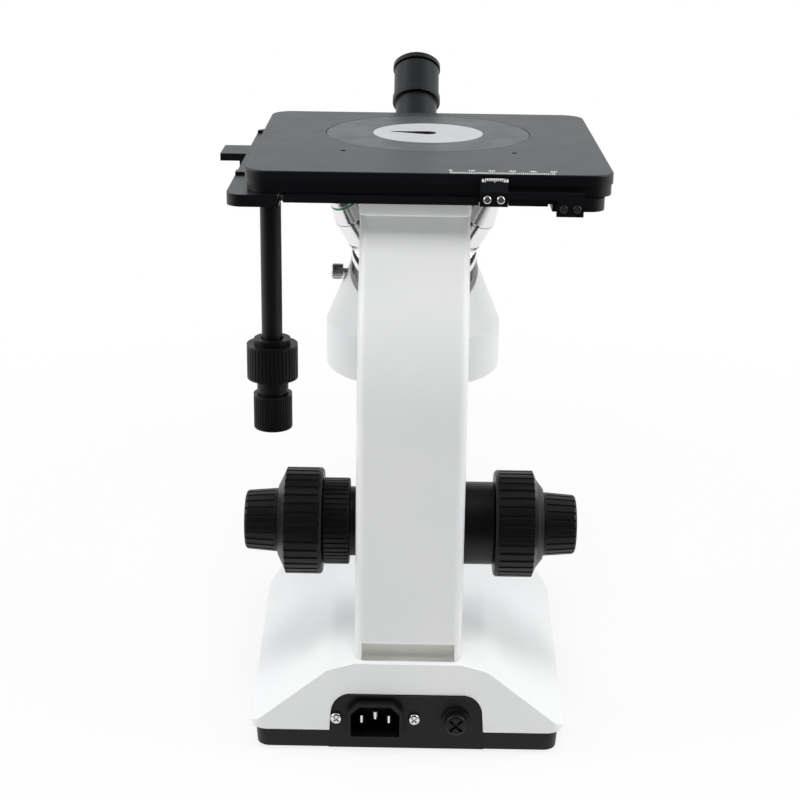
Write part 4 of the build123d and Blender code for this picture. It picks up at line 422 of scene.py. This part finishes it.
def bracket_steel():
    """Bright screws on the vernier plate and blackened ones on the block, told apart by their side."""
    finish = Finish("bracket_steel")
    finish.colours(scale=300.0, dark=(0.82, 0.82, 0.82), light=(0.88, 0.88, 0.88))
    finish.rough(scale=400.0, low=0.14, high=0.22)
    block = finish.group(WINDOW, Middle=BLOCK_MIDDLE, Half=BLOCK_HALF)
    finish.over(block, colour=(0.008, 0.008, 0.009))
    finish.metal(block, bare=1.0, masked=0.0)
    return finish


def satin_chrome(name="satin_chrome"):
    """Satin chrome of the objectives."""
    finish = Finish(name, Metallic=1.0)
    finish.colours(scale=40.0, dark=(0.80, 0.80, 0.81), light=(0.85, 0.85, 0.86))
    finish.rough(scale=60.0, low=0.15, high=0.20)
    finish.grain(scale=5000.0, strength=0.01, depth=0.05 * MM)
    return finish


def turret_chrome():
    """Chrome turret whose ribbed grip is black, told apart by height along the leaning axis."""
    finish = satin_chrome("turret_chrome")
    along = finish.centred(tuple(TURRET_APEX), (TURRET_LEAN, 0, 0))
    grip = finish.group(WINDOW, vector=along, Middle=GRIP_MIDDLE, Half=GRIP_HALF)
    finish.over(grip, colour=(0.010, 0.010, 0.011))
    finish.metal(grip, bare=1.0, masked=0.0)
    return finish


def clear_glass():
    """Coated optical glass."""
    finish = Finish("clear_glass", Roughness=0.02, IOR=1.52, Transmission_Weight=1.0)
    finish.colours(scale=30.0, dark=(0.90, 0.95, 0.96), light=(0.95, 0.96, 0.99))
    return finish


def silvered_mirror():
    """Front-silvered mirror."""
    finish = Finish("silvered_mirror", Metallic=1.0)
    finish.colours(scale=60.0, dark=(0.90, 0.90, 0.90), light=(0.94, 0.94, 0.94))
    finish.rough(scale=200.0, low=0.02, high=0.05)
    return finish


def foot_rubber():
    """Matt black rubber."""
    finish = Finish("foot_rubber", Specular_IOR_Level=0.3)
    finish.colours(scale=120.0, dark=(0.016, 0.016, 0.016), light=(0.030, 0.030, 0.030))
    finish.rough(scale=200.0, low=0.75, high=0.90)
    finish.grain(scale=1800.0, strength=0.3)
    return finish


def lamp_ceramic():
    """Unglazed lamp-holder ceramic."""
    finish = Finish("lamp_ceramic")
    finish.colours(scale=150.0, dark=(0.74, 0.71, 0.64), light=(0.82, 0.80, 0.74))
    finish.rough(scale=200.0, low=0.6, high=0.8)
    finish.grain(scale=1500.0, strength=0.2)
    return finish


def circuit_board():
    """Green solder mask over darker tracks."""
    finish = Finish("circuit_board", Coat_Weight=0.3)
    finish.colours(scale=260.0, dark=(0.010, 0.070, 0.030), light=(0.020, 0.110, 0.050))
    finish.rough(scale=150.0, low=0.30, high=0.45)
    return finish


def printed_white():
    """White screen print, slightly worn."""
    finish = Finish("printed_white")
    finish.colours(scale=900.0, dark=(0.70, 0.70, 0.69), light=(0.86, 0.86, 0.85))
    finish.rough(scale=300.0, low=0.5, high=0.65)
    return finish


def engraved_black():
    """Black paint in an engraved line."""
    finish = Finish("engraved_black")
    finish.colours(scale=600.0, dark=(0.010, 0.010, 0.010), light=(0.022, 0.022, 0.022))
    finish.rough(scale=300.0, low=0.45, high=0.6)
    return finish


def band_lacquer(name, dark, light):
    """Coloured lacquer of an objective's band."""
    finish = Finish(name, Coat_Weight=0.3)
    finish.colours(scale=400.0, dark=dark, light=light)
    finish.rough(scale=300.0, low=0.30, high=0.42)
    return finish


finishes = {
    "white_paint": white_enamel(),
    "black_plastic": moulded_black(),
    "rubber": foot_rubber(),
    "black_anodised": black_anodised(),
    "ring_grey": ring_anodised(),
    "nickel": nickel_plate(),
    "steel": ground_steel(),
    "chrome": satin_chrome(),
    "glass": clear_glass(),
    "mirror": silvered_mirror(),
    "ceramic": lamp_ceramic(),
    "circuit_board": circuit_board(),
}
own_finishes = {
    "column": column_enamel(),
    "specimen_insert": insert_aluminium(),
    "bracket_screws": bracket_steel(),
    "nosepiece_turret": turret_chrome(),
}
PRINT = printed_white()
ENGRAVED = engraved_black()


def dress_nodes():
    """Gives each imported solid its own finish, or else the finish of its slot."""
    for part in frame["record"]["subparts"]:
        finish = own_finishes.get(part["node"], finishes[part["material_slot"]])
        for slot in nodes[part["node"]].material_slots:
            slot.material = finish.material


# Printed scale along the stage's rear edge, in millimetres
SCALE_START = 16.9 * MM
SCALE_LENGTH_MM = 50
SCALE_EDGE = 0.7 * MM
TICK_WIDTH = 0.42 * MM
TICK_LENGTHS = {1: 3.2 * MM, 5: 4.0 * MM, 10: 4.8 * MM}
PRINT_WEIGHT = 0.12 * MM
PRINT_THICK = 0.04 * MM
LABEL_HEIGHT = 3.4 * MM
LABEL_GAP = 0.7 * MM


def tick_sizes(lengths):
    """Sizes of printed marks with the same width and thickness and their own lengths."""
    return np.stack([0 * lengths + TICK_WIDTH, lengths, 0 * lengths + PRINT_THICK], axis=-1)


def stage_scale():
    """Millimetre marks: one bar each millimetre, longer each five and ten."""
    step = np.arange(SCALE_LENGTH_MM + 1)
    fives = np.where(step % 5 == 0, TICK_LENGTHS[5], TICK_LENGTHS[1])
    length = np.where(step % 10 == 0, TICK_LENGTHS[10], fives)
    near = stage_low.y + SCALE_EDGE
    middles = np.stack([SCALE_START + step * MM, near + length / 2, 0 * length + STAGE_TOP], axis=-1)
    put_mesh("stage_scale", *bars(middles, tick_sizes(length)), PRINT, "stage_x", "black_anodised")


def label(name, words, height, middle, facing, body):
    """Number printed flat on a face: the letters lie in the face's plane and are centred on a point."""
    curve = bpy.data.curves.new(name, "FONT")
    curve.body, curve.size, curve.align_x, curve.align_y = words, height, "CENTER", "CENTER"
    curve.extrude, curve.offset = PRINT_THICK / 2, PRINT_WEIGHT
    text = bpy.data.objects.new(name, curve)
    mesh = bpy.data.meshes.new_from_object(text)
    bpy.data.objects.remove(text)
    mesh.transform(Matrix.Translation(middle) @ facing)
    set_on(name, mesh, PRINT, body)


def scale_labels():
    """Numbers each ten millimetres beyond the marks."""
    row = stage_low.y + SCALE_EDGE + TICK_LENGTHS[10] + LABEL_GAP + LABEL_HEIGHT / 2
    level = Matrix.Identity(4)
    for step in range(0, SCALE_LENGTH_MM + 1, 10):
        middle = Vector((SCALE_START + step * MM, row, STAGE_TOP))
        label(f"scale_number_{step}", str(step), LABEL_HEIGHT, middle, level, "stage_x")


# Vernier: marks on the plate's sloping face, nine tenths of a millimetre apart
VERNIER_GAP = 1.0 * MM
VERNIER_LAND = 1.4 * MM
VERNIER_SLOPE = Vector((0, -3.6, -6.0)).normalized()
VERNIER_FIRST = vernier_low.x + 2.4 * MM
VERNIER_STEP = 0.9 * MM
VERNIER_TICKS = 11
VERNIER_SET = 0.15 * MM
VERNIER_LONG = 1.7 * MM
VERNIER_SHORT = 1.1 * MM
VERNIER_NUMBER = 1.9 * MM
VERNIER_NUMBER_SIDE = 1.15 * MM


def vernier_frame():
    """Frame at the top of the vernier's slope: X along the plate, Y up the slope, Z out of it."""
    up = -VERNIER_SLOPE
    across = Vector((1, 0, 0))
    columns = Matrix((across, up, across.cross(up))).transposed()
    land = stage_low.y - VERNIER_GAP - VERNIER_LAND
    return Matrix.Translation((0, land, vernier_high.z)) @ columns.to_4x4()


def vernier_scale():
    """Vernier marks: one bar each step, longer each five, with a base line and end numbers."""
    step = np.arange(VERNIER_TICKS)
    length = np.where(step % 5 == 0, VERNIER_LONG, VERNIER_SHORT)
    across = VERNIER_FIRST + step * VERNIER_STEP
    middles = np.stack([across, -VERNIER_SET - length / 2, 0 * length], axis=-1)
    middles = np.vstack([middles, [[across.mean(), -VERNIER_SET, 0]]])
    line = (across[-1] - across[0] + TICK_WIDTH, TICK_WIDTH, PRINT_THICK)
    points, faces = bars(middles, np.vstack([tick_sizes(length), [line]]))
    place = vernier_frame()
    put_mesh("vernier_marks", placed(points, place), faces, PRINT, "stage_y", "black_anodised")
    turn = place.to_3x3().to_4x4()
    for words, at in (("0", across[0] - VERNIER_NUMBER_SIDE), ("10", across[-1] + VERNIER_NUMBER_SIDE)):
        middle = place @ Vector((at, -VERNIER_SET - VERNIER_NUMBER / 2, 0))
        label(f"vernier_number_{words}", words, VERNIER_NUMBER, middle, turn, "stage_y")


# Hexagon sockets in the two screws of the bracket's block
SCREW_RADIUS = 2.0 * MM
SCREW_PITCH = 6.5 * MM
SCREWS_ON_BLOCK = 2
SOCKET_SIDES = 6
SOCKET_RADIUS = 1.15 * MM
SOCKET_PROUD = 0.03 * MM


def screw_sockets():
    """Six-sided dark recess on each blackened screw: a ring of points round its axis, twice, with ends."""
    here = np.arange(SOCKET_SIDES)
    turn = here * 2 * np.pi / SOCKET_SIDES
    beside = (here + 1) % SOCKET_SIDES
    sides = np.stack([here, here + SOCKET_SIDES, beside + SOCKET_SIDES, beside], axis=-1)
    faces = sides.tolist() + [here.tolist(), (here[::-1] + SOCKET_SIDES).tolist()]
    hexagon = SOCKET_RADIUS * np.stack([np.cos(turn), 0 * turn, np.sin(turn)], axis=-1)
    for index in range(SCREWS_ON_BLOCK):
        across = screws_high.x - SCREW_RADIUS - index * SCREW_PITCH
        ring = hexagon + (across, screws_low.y, screws_low.z + SCREW_RADIUS)
        points = np.vstack([ring - (0, SOCKET_PROUD, 0), ring + (0, SOCKET_PROUD, 0)])
        put_mesh(f"screw_socket_{index}", points, faces, ENGRAVED, "stage_y", "nickel")


# Marks on the dial and the rocker, seen from the front
FRONT_FACING = Matrix(((-1, 0, 0, 0), (0, 0, 1, 0), (0, 1, 0, 0), (0, 0, 0, 1)))
DIAL_LINE = (1.0 * MM, PRINT_THICK, 6.0 * MM)
DIAL_LINE_RISE = 6.2 * MM
ROCKER_TILT = math.radians(9.7)
ROCKER_MARK = 4.2 * MM
ROCKER_SINK = 0.5 * MM


def control_marks():
    """White index bar on the dial, and a bar and a ring on the two halves of the rocker."""
    dial_middle = (dial_low + dial_high) / 2
    place = (dial_middle.x, dial_high.y, dial_middle.z + DIAL_LINE_RISE)
    put_mesh("dial_index", *bars([place], [DIAL_LINE]), PRINT, "dial", "black_plastic")
    middle = (rocker_low + rocker_high) / 2
    quarter = (rocker_high.z - rocker_low.z) / 4
    for name, words, side in (("rocker_on_mark", "I", 1), ("rocker_off_mark", "O", -1)):
        spot = Vector((middle.x, rocker_high.y - ROCKER_SINK, middle.z + side * quarter))
        tilt = Matrix.Rotation(-side * ROCKER_TILT, 4, "X")
        label(name, words, ROCKER_MARK, spot, tilt @ FRONT_FACING, "rocker")


# Objectives in their order round the turret: name, whole length, tip's radius, colour of the band
OBJECTIVES = (
    ("10x", 36.0 * MM, 7.0 * MM, (0.72, 0.48, 0.03)),
    ("20x", 34.0 * MM, 7.5 * MM, (0.03, 0.28, 0.08)),
    ("4x", 27.0 * MM, 8.5 * MM, (0.50, 0.03, 0.02)),
    ("40x", 42.0 * MM, 5.0 * MM, (0.06, 0.22, 0.50)),
)
BAND_AT = 0.84
BAND_WIDTH = 1.2 * MM
BAND_PROUD = 0.05 * MM
BAND_DARK = 0.8
LINE_AT = 20.6 * MM
LINE_WIDTH = 0.35 * MM


def skin_ring(radii, heights):
    """Thin ring on a cone, turned from its two radii and heights, that stands out as far as it reaches in."""
    inner, outer = np.asarray(radii) - BAND_PROUD, np.asarray(radii) + BAND_PROUD
    low, high = heights
    return turned([(inner[0], low), (outer[0], low), (outer[1], high), (inner[1], high)])


def objective_bands():
    """Lacquered ring on each taper, whose radius falls evenly towards the nose, and a line on the barrel."""
    turret = Matrix.Translation(TURRET_APEX) @ Matrix.Rotation(TURRET_LEAN, 4, "X")
    for index, (name, length, tip, colour) in enumerate(OBJECTIVES):
        turn = Matrix.Rotation(index * 2 * math.pi / len(OBJECTIVES), 4, "Z")
        upright = turn @ Matrix.Rotation(-TURRET_LEAN, 4, "X")
        seat = turret @ upright @ Matrix.Translation((0, 0, OBJECTIVE_SHOULDER))
        taper = length - OBJECTIVE_NOSE - OBJECTIVE_WAIST
        share = np.array([BAND_AT, BAND_AT + BAND_WIDTH / taper])
        radii = OBJECTIVE_RADIUS + share * (tip + OBJECTIVE_NOSE / 2 - OBJECTIVE_RADIUS)
        band = skin_ring(radii, OBJECTIVE_WAIST + share * taper)
        line = skin_ring([OBJECTIVE_RADIUS, OBJECTIVE_RADIUS], [LINE_AT, LINE_AT + LINE_WIDTH])
        lacquer = band_lacquer(f"band_{name}", tuple(BAND_DARK * part for part in colour), colour)
        for kind, (points, faces), finish in (("band", band, lacquer), ("line", line, ENGRAVED)):
            put_mesh(f"objective_{kind}_{name}", placed(points, seat), faces, finish, "nosepiece", "chrome")


# Studio: a white sweep behind and above, and an unlit room on the camera's side
FLOOR_HALF = 3.0
FLOOR_COLOUR = (0.76, 0.76, 0.76)
FLOOR_ROUGHNESS = 0.9
WORLD_LIGHT = 0.62
ROOM_DARK = 0.06
ROOM_SIDE = (-0.55, 0.15)
ROOM_TOP = (0.55, 0.95)
ROOM_EDGE = (-0.35, 0.05)
SKY_COLOUR = (0.955, 0.985, 1.0)
PAPER_FADE = (-0.50, -0.10)
SHADOW_SHARE = 0.15
SHADOW_REACH = (0.25, 0.70)
# Lamps: name, place, side of the square, power, seen in gloss or not
LAMPS = (
    ("left", (-1.00, -0.18, 0.72), 0.8, 6.8, True),
    ("right", (1.00, -0.18, 0.72), 0.8, 6.8, True),
    ("top", (0.0, -0.86, 2.30), 0.9, 28.0, False),
)


def eased(tree, value, ends, low, high):
    """Smooth step of a value from low to high between two ends."""
    node = tree.nodes.new("ShaderNodeMapRange")
    node.interpolation_type = "SMOOTHSTEP"
    for socket, number in zip(("From Min", "From Max", "To Min", "To Max"), (*ends, low, high)):
        node.inputs[socket].default_value = number
    tree.links.new(value, node.inputs["Value"])
    return node.outputs["Result"]


def lit_world():
    """White to the camera and through glass. Gloss sees white behind and above and the dim room on the
    camera's side, and the light on matt surfaces follows the same map."""
    world = bpy.data.worlds.new("studio")
    bpy.context.scene.world = world
    world.use_nodes = True
    tree = world.node_tree
    path = tree.nodes.new("ShaderNodeLightPath")
    way = tree.nodes.new("ShaderNodeSeparateXYZ")
    tree.links.new(tree.nodes.new("ShaderNodeTexCoord").outputs["Generated"], way.inputs["Vector"])
    behind = eased(tree, way.outputs["Y"], ROOM_SIDE, ROOM_DARK, 1.0)
    above = eased(tree, way.outputs["Z"], ROOM_TOP, 0.0, 1.0)
    above = maths(tree, "MULTIPLY", above, eased(tree, way.outputs["Y"], ROOM_EDGE, 0.0, 1.0))
    room = maths(tree, "MAXIMUM", behind, above)
    seen = maths(tree, "MAXIMUM", path.outputs["Is Camera Ray"], path.outputs["Is Transmission Ray"])
    gloss = maths(tree, "MULTIPLY", path.outputs["Is Glossy Ray"], room)
    direct = maths(tree, "MAXIMUM", seen, gloss)
    strength = maths(tree, "MAXIMUM", direct, maths(tree, "MULTIPLY", room, WORLD_LIGHT))
    back = tree.nodes["Background"]
    tint = tree.nodes.new("ShaderNodeMix")
    tint.data_type = "RGBA"
    tint.inputs["A"].default_value = (*SKY_COLOUR, 1)
    tint.inputs["B"].default_value = (1, 1, 1, 1)
    tree.links.new(path.outputs["Is Camera Ray"], tint.inputs["Factor"])
    tree.links.new(tint.outputs["Result"], back.inputs["Color"])
    tree.links.new(strength, back.inputs["Strength"])
    bpy.context.scene.view_settings.view_transform = "Standard"


def paper_floor():
    """Pale floor: white to the camera with a faint share of the real shadow near the object. Gloss sees the
    paper fade into the room in front."""
    half = FLOOR_HALF
    mesh = bpy.data.meshes.new("floor")
    corners = [(-half, -half, 0), (half, -half, 0), (half, half, 0), (-half, half, 0)]
    mesh.from_pydata(corners, [], [(0, 1, 2, 3)])
    floor = bpy.data.objects.new("floor", mesh)
    bpy.context.scene.collection.objects.link(floor)
    finish = Finish("floor_paper", Base_Color=(*FLOOR_COLOUR, 1), Roughness=FLOOR_ROUGHNESS)
    tree, place = finish.tree, finish.place
    path = tree.nodes.new("ShaderNodeLightPath")
    way = tree.nodes.new("ShaderNodeSeparateXYZ")
    tree.links.new(place, way.inputs["Vector"])
    far = tree.nodes.new("ShaderNodeVectorMath")
    far.operation = "LENGTH"
    tree.links.new(place, far.inputs[0])
    paper = eased(tree, far.outputs["Value"], SHADOW_REACH, 1 - SHADOW_SHARE, 1.0)
    fade = eased(tree, way.outputs["Y"], PAPER_FADE, 1 - ROOM_DARK, 0.0)
    glow = tree.nodes.new("ShaderNodeEmission")
    dimmed = maths(tree, "MULTIPLY", path.outputs["Is Glossy Ray"], fade)
    tree.links.new(maths(tree, "SUBTRACT", 1.0, dimmed), glow.inputs["Strength"])
    seen = maths(tree, "MULTIPLY", path.outputs["Is Camera Ray"], paper)
    mirrored = maths(tree, "MAXIMUM", path.outputs["Is Glossy Ray"], path.outputs["Is Transmission Ray"])
    mix = tree.nodes.new("ShaderNodeMixShader")
    tree.links.new(maths(tree, "MAXIMUM", seen, mirrored), mix.inputs["Fac"])
    tree.links.new(finish.shader.outputs["BSDF"], mix.inputs[1])
    tree.links.new(glow.outputs["Emission"], mix.inputs[2])
    tree.links.new(mix.outputs["Shader"], tree.nodes["Material Output"].inputs["Surface"])
    mesh.materials.append(finish.material)


def lamps():
    """Square soft lamps that look at the object's middle, one on each side and one high above the camera."""
    middle = (cad_box[0] + cad_box[1]) / 2
    for name, place, side, power, in_gloss in LAMPS:
        light = bpy.data.lights.new(name, "AREA")
        light.size, light.energy = side, power
        lamp = bpy.data.objects.new(name, light)
        lamp.location = place
        lamp.rotation_mode = "QUATERNION"
        lamp.rotation_quaternion = (middle - Vector(place)).to_track_quat("-Z", "Y")
        lamp.visible_glossy = in_gloss
        bpy.context.scene.collection.objects.link(lamp)


def photo_camera():
    """Camera at the photograph's place, with its pitch, roll and yaw."""
    pitch, roll, yaw = CAMERA_PITCH, CAMERA_ROLL, CAMERA_YAW
    ahead = Vector((math.sin(yaw) * math.cos(pitch), math.cos(yaw) * math.cos(pitch), -math.sin(pitch)))
    level = Vector((math.cos(yaw), -math.sin(yaw), 0))
    below = ahead.cross(level)
    right = math.cos(roll) * level + math.sin(roll) * below
    down = -math.sin(roll) * level + math.cos(roll) * below
    data = bpy.data.cameras.new("photo_camera")
    data.sensor_width = SENSOR_WIDTH
    data.lens = FOCAL_PIXELS * SENSOR_WIDTH / PICTURE_SIZE
    camera = bpy.data.objects.new("photo_camera", data)
    columns = Matrix((right, -down, -ahead)).transposed()
    camera.matrix_world = Matrix.Translation(CAMERA_PLACE) @ columns.to_4x4()
    bpy.context.scene.collection.objects.link(camera)
    bpy.context.scene.camera = camera


dress_nodes()
stage_scale()
scale_labels()
vernier_scale()
screw_sockets()
control_marks()
objective_bands()
lit_world()
paper_floor()
lamps()
photo_camera()
